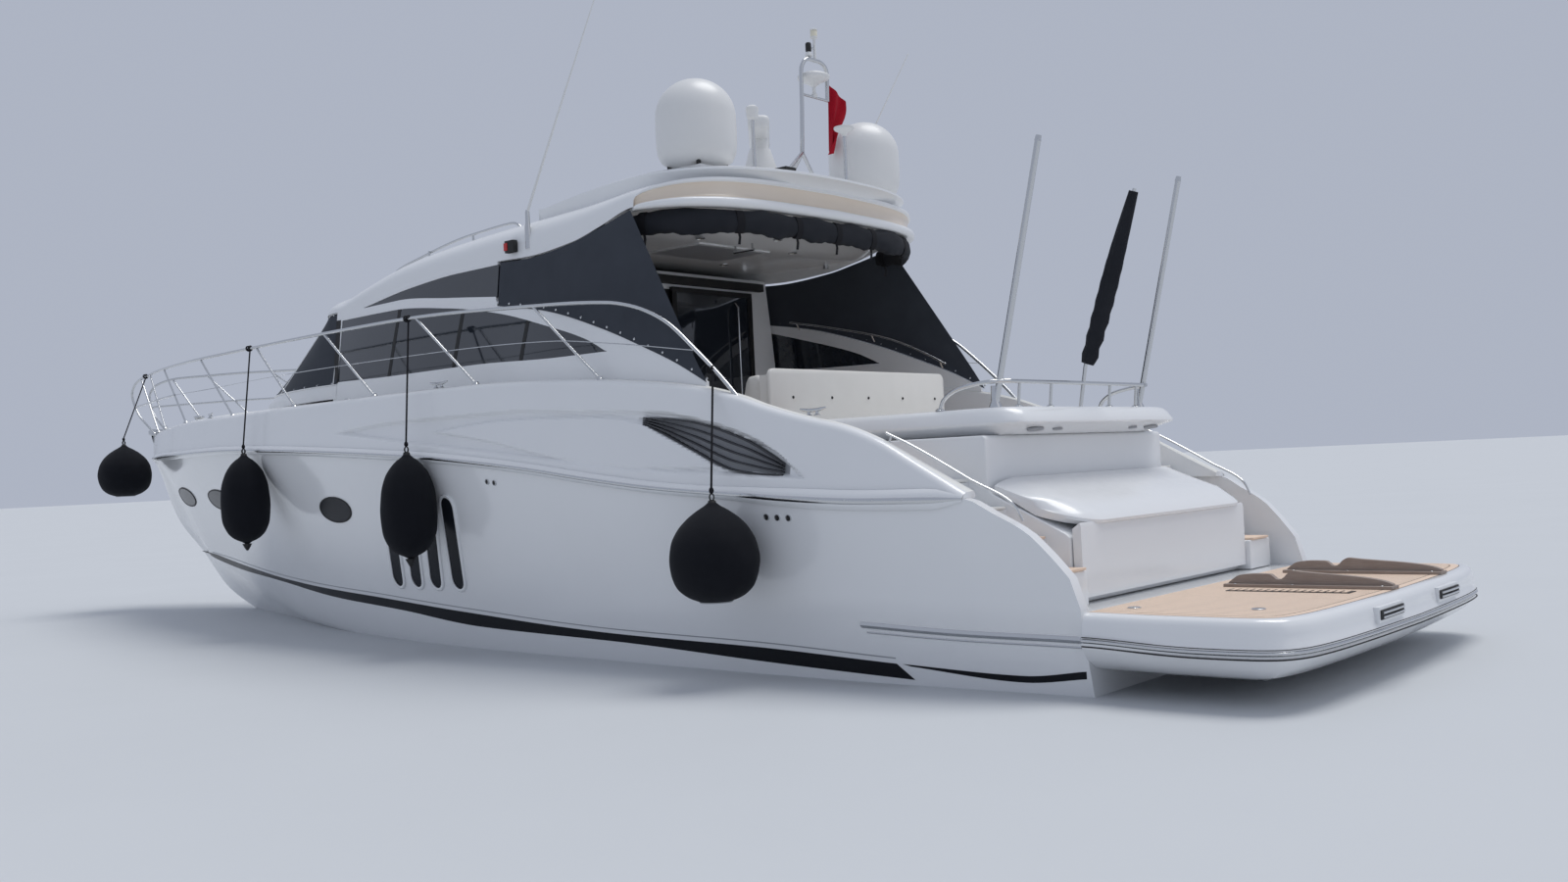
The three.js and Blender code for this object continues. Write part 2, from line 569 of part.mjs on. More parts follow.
const FOOT_Z = SUN_Z + GAP;
const HOOP = [[2.93, 1.25, FOOT_Z], [2.8, 1.25, 2.05], [2.6, 1.25, 2.1], [2.47, 1.12, 2.11]];
const railHoop = tube([...HOOP, ...flipY(HOOP).reverse()], 0.016);
const posts = [-0.95, 0, 0.95].map((y) => tube([[2.49, y, FOOT_Z], [2.47, y, 2.11]], 0.014));
const poleFoot = [2.56, 1.16, FOOT_Z];
const polePort = tube([poleFoot, [2.1, 1.16, 3.8]], 0.024, 8);
const staff = tube([[2.49, 0, FOOT_Z], [2.43, 0, 2.24], [1.95, 0, 3.55]], 0.016, 8);
const furled = tube([[2.43, 0, 2.24], [2.3, 0, 2.6], [1.95, 0, 3.55]], 0.05, 8);
const poleArm = tube([[2.52, 1.17, 2.11], [2.46, 1.1, 2.11]], 0.02);
const poles = [polePort, mirror(polePort), poleArm, mirror(poleArm)];
const sunRail = union([railHoop, ...posts, ...poles, staff, furled]);
node("sunpad_rail", clear(sunRail, sunpad), "steel");

// Superstructure skin: rings at stations, offset inwards by t
const WINDSCREEN = { x: 10.3, a0: 3.0, a1: 1.1, b0: 1.6, b1: 1.45, z0: 2.56, z1: 3.42 };
const ROOF = [
  // x, side foot y, shoulder y, shoulder z, edge y, edge z, crown z
  [4.4, 2.02, 1.84, 3.6, 1.7, 3.9, 4.0],
  [5.5, 1.97, 1.82, 3.62, 1.62, 3.92, 4.0],
  [6.5, 1.92, 1.76, 3.62, 1.54, 3.92, 4.0],
  [7.5, 1.82, 1.7, 3.6, 1.46, 3.9, 3.98],
  [8.9, 1.72, 1.62, 3.55, 1.36, 3.82, 3.93],
  [9.9, 1.64, 1.54, 3.47, 1.28, 3.68, 3.8],
  [10.3, 1.6, 1.5, 3.4, 1.25, 3.6, 3.72],
];
function skinRing(x, t) {
  let pts;
  if (x <= 10.3) {
    const c = (k) => at(ROOF, x, k);
    pts = [
      [c(1), 1.9],
      [c(1), 2.4],
      [c(2) + (c(1) - c(2)) * 0.5, 2.98],
      [c(2), c(3)],
      [c(4), c(5)],
      [c(4) * 0.5, (c(5) + c(6) * 2) / 3],
      [0.02, c(6)],
    ];
  } else {
    const w = WINDSCREEN;
    const d = x - w.x;
    const halfAt = (s) => {
      const a = w.a0 + (w.a1 - w.a0) * s;
      const b = w.b0 + (w.b1 - w.b0) * s;
      return b * Math.sqrt(Math.max(0, 1 - (d / a) ** 2));
    };
    const top = Math.min(1, (w.a0 - d) / (w.a0 - w.a1));
    const zAt = (s) => w.z0 + (w.z1 - w.z0) * s;
    const crown = d < w.a1 ? 0.3 * Math.sqrt(1 - (d / w.a1) ** 2) : 0;
    const edge = halfAt(top);
    pts = [
      [halfAt(0), 1.9],
      [halfAt(0), zAt(0)],
      [halfAt(top / 2), zAt(top / 2)],
      [edge, zAt(top)],
      [edge * 0.83, zAt(top) + crown * 0.65],
      [edge * 0.42, zAt(top) + crown * 0.92],
      [0.02, zAt(top) + crown],
    ];
  }
  const half = pts.map(([y, z]) => [x, Math.max(0.01, y - t), z - (z > 3.3 ? t : 0)]);
  return [...half, ...flipY(half).reverse()];
}
const SKIN_X = [4.4, 5.0, 5.5, 6.5, 7.5, 8.9, 9.9, 10.3, 10.8, 11.2, 11.39, 11.8, 12.3, 12.8, 13.2];
const skin = (t) => {
  const end = 13.2 - t * 2;
  const xs = SKIN_X.filter((x) => x < end - 0.05);
  return loft([...xs, end].map((x) => skinRing(x, t)));
};
const band = (t0, t1) => skin(t0).subtract(skin(t1));

// Regions of the superstructure's side, in x and z
const LOWER_GLASS = [[10.3, 2.67], [10.3, 3.3], [9.16, 3.3], [7.37, 3.08], [6.66, 2.9], [6.04, 2.71],
  [5.81, 2.6], [6.42, 2.6], [7.71, 2.64], [9.28, 2.65]];
const UPPER_GLASS = [[9.79, 3.4], [8.87, 3.49], [8.08, 3.53], [7.46, 3.53], [7.46, 3.26], [9.12, 3.38]];
const EAVE = [[4.4, 3.6], [7.5, 3.6], [8.9, 3.55], [9.9, 3.47], [10.3, 3.42], [13.6, 3.42]];
const ARCH = [[4.62, 2.3], [4.94, 2.41], [5.29, 2.56], [5.86, 2.78], [6.63, 3.01], [7.38, 3.14], [7.38, 3.6]];
const SCREEN_X = 10.38;
const SILL_Z = 2.64;

// Coachroof walls, open aft of the bulkhead where canvas closes them
const WALLS = [[4.4, 1.9], [4.4, 2.22], ...ARCH, [7.5, 3.5995], [8.9, 3.5495], [9.9, 3.4695], [10.3, 3.4195],
  [SCREEN_X, 3.4195], [SCREEN_X, SILL_Z], [13.6, SILL_Z], [13.6, 1.9]];
let house = band(0, 0.05).intersect(sidePrism(WALLS, -3, 3));
house = house.subtract(sidePrism(LOWER_GLASS, -3, 3)).subtract(sidePrism(UPPER_GLASS, -3, 3));
function footRing(x) {
  const top = at(DECK_Z, x) + 0.0104;
  return [[x, 3, 1], [x, 3, top], [x, -3, top], [x, -3, 1]];
}
house = house.subtract(loft([4.3, ...SIDE_X.slice(8), 10.9].map(footRing)));
const crownRing = (x) => {
  const z = at(DECK_Z, x) + at([[10.5, 0.14], [13, 0.12], [16, 0.05]], x) + 0.003;
  return [[x, 3, 1], [x, 3, z - 0.15], [x, 0.6, z], [x, -0.6, z], [x, -3, z - 0.15], [x, -3, 1]];
};
house = house.subtract(loft([10.85, 13.5].map(crownRing)));
house = clear(house, deck);
node("deckhouse", house, "deck");

const EDGE_ROOM = 0.0005;
for (const [name, outline] of [["lower", LOWER_GLASS], ["upper", UPPER_GLASS]]) {
  const pane = largest(band(0.012, 0.032).intersect(sidePrism(inset(outline, EDGE_ROOM), 0.9, 3)));
  node(name + "_side_glass_port", pane, "glass");
  node(name + "_side_glass_starboard", mirror(pane), "glass");
}

// Windscreen under its cover, wrapped round to the side mullions
const screenEdges = [[SCREEN_X, SILL_Z], [SCREEN_X, 3.4195], [13.6, 3.4195], [13.6, SILL_Z]];
const screenZone = sidePrism(inset(screenEdges, EDGE_ROOM), -3, 3);
node("windscreen_cover", largest(band(-0.004, 0.03).intersect(screenZone)), "screen");

// Canvas curtains down to the white arch, and the rolled canvas under the brim
const CURTAIN = [[7.38, 3.14], [7.38, 3.57], [6.93, 3.57], [5.95, 3.58], [5.5, 3.57], [4.64, 2.34],
  [4.94, 2.41], [5.29, 2.56], [5.86, 2.78], [6.63, 3.01]];
const curtain = largest(band(0.002, 0.012).intersect(sidePrism(inset(CURTAIN, EDGE_ROOM), 0.9, 3)));
node("side_curtain_port", curtain, "curtain");
node("side_curtain_starboard", mirror(curtain), "curtain");

// Hardtop with its deep aft brim
const above = sidePrism([...EAVE, [13.6, 5], [4.4, 5]], -3, 3);
const AFT_EDGE = [[5.75, 1.95], [5.4, 1.82], [5.1, 1.6], [4.92, 1.2], [4.84, 0.7], [4.8, 0]];
const edgeCurve = [...AFT_EDGE, ...flipEdge(AFT_EDGE)];
function flipEdge(half) {
  return half.slice(0, -1).reverse().map(([x, y]) => [x, -y]);
}
const ahead = planPrism([...edgeCurve, [14, -2.2], [14, 2.2]], 3, 5);
const BRIM_LONG = 0.32;
const brimFore = [...edgeCurve].reverse().map(([x, y]) => [x + BRIM_LONG, y]);
const brimZone = planPrism([...edgeCurve, ...brimFore], 3.7, 3.99);
let roof = band(0, 0.06).intersect(above).intersect(ahead);
roof = largest(roof.add(skin(0.002).intersect(brimZone)));
node("hardtop", roof, "deck");

const WING = [[7.12, 1.5], [6.2, 1.62], [5.45, 1.6], [5.05, 1.42], [4.8, 1.05], [4.7, 0.5], [4.68, 0]];
const wingAft = [...WING, ...flipEdge(WING)];
const WING_Z = 4.09;
const wingFore = [[6.5, -1.2], [6.2, -0.7], [6.1, 0], [6.2, 0.7], [6.5, 1.2]];
let wing = planPrism([...wingAft, ...wingFore], 3.86, WING_Z).subtract(skin(-0.0005));
const RADAR = [5.58, 0.1];
const PEDESTAL_TOP = 4.49;
const pedestal = turned(...RADAR, [[0.18, 4.0], [0.17, 4.14], [0.12, 4.3], [0.1, PEDESTAL_TOP]]);
// Two small aerials on poles of their own: a rounded head to port of the radar and a flat disc to starboard
const HEAD_ROWS = [[0.016, 4.05], [0.016, 4.6], [0.05, 4.62], [0.06, 4.67], [0.045, 4.72], [0.015, 4.74]];
const DISC_ROWS = [[0.016, 4.05], [0.016, 4.61], [0.075, 4.62], [0.08, 4.66], [0.05, 4.7], [0.015, 4.71]];
const HEAD = [5.19, 0.64];
const DISC = [5.05, -0.5];
const stands = union([pedestal, turned(...HEAD, HEAD_ROWS, 10), turned(...DISC, DISC_ROWS, 10)]);
wing = largest(wing.add(stands.subtract(skin(-0.0005))));
node("radar_wing", wing, "deck");

// The scanner's bar faces the photograph's camera end on
const AIM_DEG = (Math.atan2(9.98, -8.45) * 180) / Math.PI;
const BAR_HALF = 0.46;
const BAR_Z = [4.58, 4.71];
function barRing(d) {
  const wide = Math.abs(d) === BAR_HALF ? 0.06 : 0.1;
  return [
    [RADAR[0] + d, RADAR[1] - wide, BAR_Z[0]],
    [RADAR[0] + d, RADAR[1] + wide, BAR_Z[0]],
    [RADAR[0] + d, RADAR[1] + wide * 0.8, BAR_Z[1]],
    [RADAR[0] + d, RADAR[1] - wide * 0.8, BAR_Z[1]],
  ];
}
const bar = loft([-BAR_HALF, 0.04 - BAR_HALF, BAR_HALF - 0.04, BAR_HALF].map(barRing));
const scanner = turned(...RADAR, [[0.085, PEDESTAL_TOP + GAP], [0.075, 4.6]]).add(bar);
const [pivotX, pivotY] = mm([...RADAR, 0]);
const aimed = scanner.translate([-pivotX, -pivotY, 0]).rotate([0, 0, AIM_DEG]).translate([pivotX, pivotY, 0]);
node("radar_scanner", aimed, "dome");

const DOME_ROWS = [[0.16, WING_Z + GAP], [0.18, 4.14], [0.3, 4.2], [0.345, 4.34], [0.345, 4.58], [0.31, 4.74],
  [0.2, 4.855], [0.04, 4.9]];
const dome = turned(5.35, 1.2, DOME_ROWS);
node("satellite_dome_port", dome, "dome");
node("satellite_dome_starboard", mirror(dome), "dome");

// Mast frame with its small aerials
const MAST_Z = WING_Z + GAP;
const LOOP = [[5.48, -0.4, 4.5], [5.44, -0.39, 5.28], [5.43, -0.46, 5.41], [5.43, -0.7, 5.41],
  [5.44, -0.79, 5.28], [5.45, -0.79, 5.06]];
const LEG_FEET = [[5.18, 0.34], [5.3, 0.22], [5.5, -0.75], [5.9, -0.5]];
// The legs meet below the scanner's bar, which sweeps over them
const LEG_TOP_Z = BAR_Z[0] - 0.06;
const legs = LEG_FEET.map(([x, y]) => tube([[x, y, MAST_Z], [5.48, -0.4, LEG_TOP_Z]], 0.018));
const crossbar = tube([[5.45, -0.39, 5.07], [5.45, -0.79, 5.07]], 0.014);
const DISH_ROWS = [[0.02, 5.06], [0.02, 5.18], [0.15, 5.2], [0.17, 5.25], [0.12, 5.31], [0.03, 5.32]];
const hat = turned(5.45, -0.59, DISH_ROWS, 12);
const LAMP_ROWS = [[0.014, 5.4], [0.014, 5.61], [0.035, 5.62], [0.035, 5.69], [0.015, 5.7]];
const lamp = turned(5.43, -0.6, LAMP_ROWS, 8);
node("mast_frame", clear(union([tube(LOOP, 0.02), ...legs, crossbar, hat, lamp]), wing), "steel");

// Whip aerials lean aft from ferrules on the roof's edges
function whip(x, y, lean, top) {
  const [low, high] = [3.6, 3.95];
  const reach = (z) => x - lean * (z - high);
  const rod = tube([[x, y, low + 0.02], [x, y, high], [reach(top), y, top]], 0.014);
  return clear(rod.add(turned(x, y, [[0.03, low], [0.03, high - 0.05]], 8)), roof, wing);
}
node("whip_aerial_port", whip(6.96, 1.73, 0.58, 5.7), "dome");
node("whip_aerial_starboard", whip(6.3, -1.74, 0.68, 5.64), "dome");

const ROLL = [[5.54, 1.7, 3.62], [5.22, 1.55, 3.615], [4.99, 1.27, 3.61], [4.88, 0.9, 3.61],
  [4.85, 0.45, 3.61]];
const rollPath = [...ROLL, [4.84, 0, 3.61], ...flipY(ROLL).reverse()];
node("rolled_canvas", clear(tube(rollPath, 0.076, 8), roof), "canvas");

// Saloon bulkhead with a fixed pane, and the sliding door aft of it
const BULK_X = 7.09;
let bulkhead = skin(0.052).intersect(box(BULK_X, BULK_X + 0.06, -2, 2, 1.3404, 3.58));
bulkhead = bulkhead.subtract(box(7, 7.2, -1.3, -0.25, 1.42, 3.38));
node("saloon_bulkhead", clear(bulkhead, hull, deck), "deck");
const slider = box(BULK_X - 0.055, BULK_X - GAP, -1.38, -0.17, 1.44, 3.42);
const PULL = [[-0.045, 2.0], [-0.09, 2.05], [-0.09, 3.25], [-0.045, 3.3]];
const pull = PULL.map(([dx, z]) => [BULK_X + dx, -1.1, z]);
node("sliding_door", slider.add(tube(pull, 0.012)), "glass");

node("foredeck_hatch", box(14.3, 14.9, -0.3, 0.3, 2.58 + GAP, 2.605), "acrylic");

// Guard rails: leaning stanchions, top rail and wire
const RAIL_TOP = [[4.22, 2.05, 2.06], [4.69, 2.06, 2.52], [4.99, 2.06, 2.76], [5.3, 2.07, 2.9],
  [5.62, 2.07, 2.97], [6.7, 2.07, 3.05], [8.35, 2.05, 3.12], [9.92, 1.97, 3.13], [11.72, 1.74, 3.15],
  [13.74, 1.32, 3.2], [15.1, 0.93, 3.24], [16.4, 0.52, 3.27], [17.2, 0.27, 3.27], [17.7, 0.16, 3.2],
  [17.86, 0.13, 3.05], [17.78, 0.12, 2.85], [17.3, 0.1, 2.47]];
// Foot and head of each leaning stanchion along the boat
const STANCHIONS = [[5.75, 6.55], [7.37, 8.24], [8.99, 9.9], [10.62, 11.55], [12.37, 13.5], [14.35, 15.6],
  [15.73, 16.7], [16.6, 17.35]];
const ALONG = RAIL_TOP.slice(0, 14);
const railAt = (x) => [x, at(ALONG, x), at(ALONG, x, 2)];
const footAt = (x) => [x, Math.min(at(ALONG, x) - 0.01, deckY(x) - 0.02), at(DECK_Z, x) - 0.06];
const WIRE = [[4.7, 2.06, 2.5], [5.64, 2.07, 2.64], [6.34, 2.07, 2.72], [7.46, 2.06, 2.76],
  [9.75, 1.97, 2.78], [11.06, 1.82, 2.79], [12.61, 1.56, 2.8], [14.95, 0.97, 2.86]];
const MID = [[14.95, 0.97, 2.86], [16.5, 0.49, 2.88], [17.4, 0.22, 2.88], [17.79, 0.12, 2.88]];
const guardWhole = union([
  tube(RAIL_TOP, 0.017),
  ...STANCHIONS.map(([a, b]) => tube([footAt(a), railAt(b)], 0.013)),
  tube(WIRE, 0.006, 4),
  tube(MID, 0.015),
]);
const guard = clear(guardWhole, deck);
node("guard_rail_port", guard, "steel");
node("guard_rail_starboard", clear(mirror(guardWhole), deck), "steel");

// Fenders on their lanyards, port side as seen
const BAG = [[0.6, 0.05], [0.92, 0.2], [1, 0.42], [0.97, 0.65], [0.7, 0.85], [0.25, 0.95]];
function fender(x, y, low, high, r, rail) {
  const full = BAG.map(([wide, up]) => [r * wide, low + (high - low) * up]);
  const bag = turned(x, y, [[0.03, low], ...full, [0.025, high]], 12);
  return clear(bag.add(tube([[x, y, high - 0.05], [x, y, high + 0.1], rail], 0.009)), guard);
}
const FENDERS = [
  ["fender_bow", 16.72, 0.82, 1.58, 2.28, 0.345, [17.0, 0.33, 3.27]],
  ["fender_forward", 11.29, 2.11, 1.0, 1.96, 0.25, [11.72, 1.74, 3.15]],
  ["fender_middle", 7.99, 2.39, 0.88, 1.84, 0.25, [8.35, 2.05, 3.12]],
  ["fender_quarter", 4.17, 2.49, 0.61, 1.33, 0.33, [4.5, 2.055, 2.334]],
];
for (const [name, ...sizes] of FENDERS) node(name, fender(...sizes), "knit");

// Propellers on their shafts, and rudders
const tilt = Math.atan(SHAFT_SLOPE);
// A point a along the shaft forward of the propeller, b across and c up from it
function alongShaft(a, b, c) {
  const [x, y, z] = PROP;
  return [x + a * Math.cos(tilt) - c * Math.sin(tilt), y + b, z + a * Math.sin(tilt) + c * Math.cos(tilt)];
}
// Blade rows: radius, chord, pitch angle and half thickness
const BLADE = [
  [0.05, 0.13, 0.95, 0.02],
  [0.16, 0.22, 0.75, 0.014],
  [0.26, 0.22, 0.55, 0.01],
  [0.33, 0.1, 0.45, 0.006],
];
function propeller() {
  const ringAt = (a, r) =>
    Array.from({ length: BEARING_SIDES }, (_, i) => {
      const turn = (2 * Math.PI * i) / BEARING_SIDES;
      return alongShaft(a, r * Math.cos(turn), r * Math.sin(turn));
    });
  const HUB = [[-0.14, 0.02], [-0.09, 0.06], [0.08, 0.07], [0.1, SHAFT_R], [2.9, SHAFT_R]];
  const hub = loft(HUB.map(([a, r]) => ringAt(a, r)));
  const blades = [0, 1, 2, 3].map((k) => {
    const phi = (k * Math.PI) / 2 + 0.4;
    return loft(
      BLADE.map(([r, chord, beta, thick]) => {
        const corner = (u, v) => {
          const axial = u * Math.sin(beta) + v * Math.cos(beta);
          const swing = u * Math.cos(beta) - v * Math.sin(beta);
          const across = r * Math.cos(phi) - swing * Math.sin(phi);
          return alongShaft(axial, across, r * Math.sin(phi) + swing * Math.cos(phi));
        };
        return [corner(-chord / 2, 0), corner(0, -thick), corner(chord / 2, 0), corner(0, thick)];
      }),
    );
  });
  return union([hub, ...blades]);
}
node("propeller_port", propeller(), "bronze");
node("propeller_starboard", mirror(propeller()), "bronze");

// Section of a rudder blade at height z: pointed nose, full at mid chord, thin tail
function foil(x0, x1, half, z) {
  const full = x0 + (x1 - x0) * 0.6;
  const edge = [[x0, 0], [full, -half], [x1, -half * 0.3], [x1, half * 0.3], [full, half]];
  return edge.map(([x, y]) => [x, SHAFT_Y + y, z]);
}
const stock = turned(...RUDDER, [[STOCK_R, -0.6], [STOCK_R, -0.16]], BEARING_SIDES);
const rudder = loft([foil(1.72, 2.08, 0.02, -1.2), foil(1.66, 2.12, 0.03, -0.54)]).add(stock);
node("rudder_port", rudder, "bronze");
node("rudder_starboard", mirror(rudder), "bronze");

export default root;
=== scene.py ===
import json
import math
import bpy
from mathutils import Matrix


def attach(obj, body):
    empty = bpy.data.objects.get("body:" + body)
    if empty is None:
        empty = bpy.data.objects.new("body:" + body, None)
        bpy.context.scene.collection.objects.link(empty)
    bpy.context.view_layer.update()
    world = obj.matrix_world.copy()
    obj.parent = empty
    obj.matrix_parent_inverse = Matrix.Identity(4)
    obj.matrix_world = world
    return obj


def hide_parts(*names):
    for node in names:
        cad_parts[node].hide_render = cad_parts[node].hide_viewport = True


bl_info = {
    "name": "Motor Yacht",
    "version": (1, 0, 0),
    "blender": (4, 5, 0),
    "location": "View3D > Sidebar > Yacht",
    "description": "Dresses the packed motor yacht with its finished pieces",
    "category": "Object",
}

import bmesh
import bpy
import numpy as np
from mathutils import Matrix, Vector

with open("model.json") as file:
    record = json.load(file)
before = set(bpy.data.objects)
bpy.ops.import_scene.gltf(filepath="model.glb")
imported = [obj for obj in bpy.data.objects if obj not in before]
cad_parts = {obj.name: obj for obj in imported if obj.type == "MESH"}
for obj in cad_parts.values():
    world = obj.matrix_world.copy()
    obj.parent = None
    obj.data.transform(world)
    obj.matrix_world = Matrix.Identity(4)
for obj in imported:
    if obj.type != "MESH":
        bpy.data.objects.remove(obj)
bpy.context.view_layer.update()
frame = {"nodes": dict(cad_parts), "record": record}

# The tables count x in metres from the platform's aft edge
AMIDSHIPS = 9.0
BODY = "boat"


# Smooth lines through tables

class Line:
    """A smooth curve through rows of x and a value, which never swings past its rows."""

    def __init__(self, *rows):
        table = np.array(rows, float)
        self.x, self.v = table[:, 0], table[:, 1]
        step = np.diff(self.x)
        slope = np.diff(self.v) / step
        inner = np.zeros(len(self.x))
        for i in range(1, len(self.x) - 1):
            before, after = slope[i - 1], slope[i]
            if before * after > 0:
                near = 2 * step[i] + step[i - 1]
                far = step[i] + 2 * step[i - 1]
                inner[i] = (near + far) / (near / before + far / after)
        inner[0], inner[-1] = slope[0], slope[-1]
        self.m = inner

    def __call__(self, x):
        x = min(max(x, self.x[0]), self.x[-1])
        i = min(max(int(np.searchsorted(self.x, x)) - 1, 0), len(self.x) - 2)
        h = self.x[i + 1] - self.x[i]
        t = (x - self.x[i]) / h
        return float(
            self.v[i] * (1 + 2 * t) * (1 - t) ** 2
            + self.v[i + 1] * t * t * (3 - 2 * t)
            + h * t * (1 - t) * (self.m[i] * (1 - t) - self.m[i + 1] * t)
        )


def soft_step(value, low, high):
    """0 below low, 1 above high, and a smooth ramp between them."""
    t = min(1.0, max(0.0, (value - low) / (high - low)))
    return t * t * (3 - 2 * t)


def curve(points, count):
    """A smooth path of count points through the given ones, evenly spaced along it."""
    points = np.array(points, float)
    along = np.concatenate([[0], np.cumsum(np.linalg.norm(np.diff(points, axis=0), axis=1))])
    axes = [Line(*zip(along, points[:, k])) for k in range(points.shape[1])]
    return [tuple(axis(s) for axis in axes) for s in np.linspace(0, along[-1], count)]


def spaced(low, high, count):
    return [float(v) for v in np.linspace(low, high, count)]


def blended(a, b, t):
    """The point a share t of the way from a to b."""
    return tuple(p + (q - p) * t for p, q in zip(a, b))


# Shapes, in the tables' frame until they are done

class Shape:
    """Points and faces of one piece. Each face carries the name of its finish."""

    def __init__(self):
        self.points = []
        self.faces = []
        self.marks = []

    def add(self, points, faces, finish):
        start = len(self.points)
        self.points += [tuple(p) for p in points]
        self.faces += [tuple(start + i for i in face) for face in faces]
        self.marks += [finish] * len(faces)

    def grid(self, rows, finish, closed=False):
        """Faces between rows of points. closed joins the two ends of every row."""
        wide = len(rows[0])
        steps = wide if closed else wide - 1
        faces = []
        for r in range(len(rows) - 1):
            for i in range(steps):
                a, b = r * wide + i, r * wide + (i + 1) % wide
                faces.append((a, b, b + wide, a + wide))
        self.add([p for row in rows for p in row], faces, finish)

    def body(self, rings, finish):
        """A closed body through rings of points, capped at both ends."""
        self.grid(rings, finish, closed=True)
        self.add(rings[0], [tuple(range(len(rings[0])))], finish)
        self.add(rings[-1], [tuple(range(len(rings[-1])))], finish)

    def tube(self, path, radius, finish, sides=10):
        """A round bar along a path. radius is a number or one for each point."""
        path = [Vector(p) for p in path]
        radii = [radius] * len(path) if isinstance(radius, (int, float)) else radius
        rings = []
        side = None
        for i, p in enumerate(path):
            before = (p - path[i - 1]).normalized() if i else None
            after = (path[i + 1] - p).normalized() if i + 1 < len(path) else None
            ahead = ((before or after) + (after or before)).normalized()
            if side is None:
                side = ahead.orthogonal()
            side = (side - ahead * side.dot(ahead)).normalized()
            across = ahead.cross(side)
            rings.append([
                p + (side * math.cos(a) + across * math.sin(a)) * radii[i]
                for a in (math.tau * k / sides for k in range(sides))
            ])
        self.body(rings, finish)

    def turned(self, x, y, rows, finish, sides=40):
        """A round body about an upright axis from rows of radius and height."""
        self.body([
            [(x + r * math.cos(a), y + r * math.sin(a), z)
             for a in (math.tau * k / sides for k in range(sides))]
            for r, z in rows
        ], finish)

    def block(self, low, high, finish):
        (x0, y0, z0), (x1, y1, z1) = low, high
        self.body([
            [(x0, y0, z), (x1, y0, z), (x1, y1, z), (x0, y1, z)] for z in (z0, z1)
        ], finish)

    def plate(self, outline, low, high, finish):
        """An outline in x and y, drawn up from low to high."""
        self.body([[(x, y, z) for x, y in outline] for z in (low, high)], finish)

    def panel(self, outline, near, far, finish):
        """An outline in x and z, drawn along y from near to far."""
        self.body([[(x, y, z) for x, z in outline] for y in (near, far)], finish)

    def both_sides(self):
        """Adds the mirror image of everything so far."""
        points = [(x, -y, z) for x, y, z in self.points]
        faces = [tuple(reversed(face)) for face in self.faces]
        marks = list(self.marks)
        start = len(self.points)
        self.points += points
        self.faces += [tuple(start + i for i in face) for face in faces]
        self.marks += marks

    def done(self, name, slot, replaces=(), body=BODY, sharp=32, thick=0.0, bevel=0.0):
        """The finished object, riding on its body."""
        names = sorted(set(self.marks))
        mesh = bpy.data.meshes.new(name)
        mesh.from_pydata([(x - AMIDSHIPS, y, z) for x, y, z in self.points], [], self.faces)
        for finish in names:
            mesh.materials.append(finishes[finish])
        mesh.polygons.foreach_set("material_index", [names.index(mark) for mark in self.marks])
        work = bmesh.new()
        work.from_mesh(mesh)
        bmesh.ops.remove_doubles(work, verts=work.verts, dist=0.00005)
        bmesh.ops.dissolve_degenerate(work, dist=0.00005, edges=work.edges)
        bmesh.ops.recalc_face_normals(work, faces=work.faces)
        work.to_mesh(mesh)
        work.free()
        obj = bpy.data.objects.new(name, mesh)
        bpy.context.scene.collection.objects.link(obj)
        if thick:
            wall = obj.modifiers.new("wall", "SOLIDIFY")
            wall.thickness = thick
            wall.offset = -1
        if bevel:
            edge = obj.modifiers.new("edge", "BEVEL")
            edge.width = bevel
            edge.segments = 3
            edge.limit_method = "ANGLE"
            edge.angle_limit = math.radians(30)
        return settled(obj, replaces, body, sharp)


def settled(obj, replaces=(), body=BODY, sharp=32):
    """Applies an object's modifiers, smooths it up to an angle and seats it on its body."""
    if obj.modifiers:
        graph = bpy.context.evaluated_depsgraph_get()
        mesh = bpy.data.meshes.new_from_object(obj.evaluated_get(graph))
        obj.modifiers.clear()
        obj.data = mesh
    obj.data.shade_smooth()
    obj.data.set_sharp_from_angle(angle=math.radians(sharp))
    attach(obj, body)
    if replaces:
        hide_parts(*([replaces] if isinstance(replaces, str) else replaces))
    return obj


def patch(upper, lower, count, rows, surface, lift=0.0):
    """Rows between two paths in x and z, laid on a surface y(x, z) and lifted off it."""
    top, low = curve(upper, count), curve(lower, count)
    made = []
    for r in spaced(0, 1, rows):
        row = [blended(a, b, r) for a, b in zip(top, low)]
        made.append([(x, surface(x, z) + lift, z) for x, z in row])
    return made


def grown(outline, out):
    """A closed outline grown outwards, or drawn in where out is less than 0."""
    points = np.array(outline, float)
    ahead = np.roll(points, -1, axis=0) - np.roll(points, 1, axis=0)
    normal = np.stack([ahead[:, 1], -ahead[:, 0]], axis=1)
    normal /= np.linalg.norm(normal, axis=1)[:, None]
    following = np.roll(points, -1, axis=0)
    turn = np.sum(points[:, 0] * following[:, 1] - following[:, 0] * points[:, 1])
    return [tuple(p) for p in points + normal * out * (1 if turn > 0 else -1)]


def stadium(foot, head, half, count=10):
    """A slot with round ends between two points, half of it to each side of its line."""
    (x0, z0), (x1, z1) = foot, head
    lean = math.atan2(z1 - z0, x1 - x0)
    made = []
    for (x, z), start in ((head, lean - math.pi / 2), (foot, lean + math.pi / 2)):
        for a in spaced(start, start + math.pi, count):
            made.append((x + half * math.cos(a), z + half * math.sin(a)))
    return made


def oval(x, z, a, b, count=36):
    return [(x + a * math.cos(t), z + b * math.sin(t)) for t in (math.tau * k / count for k in range(count))]


# Height of a pane over the surface it follows, more than the flat faces of that surface stand off it
PANE_LIFT = 0.009


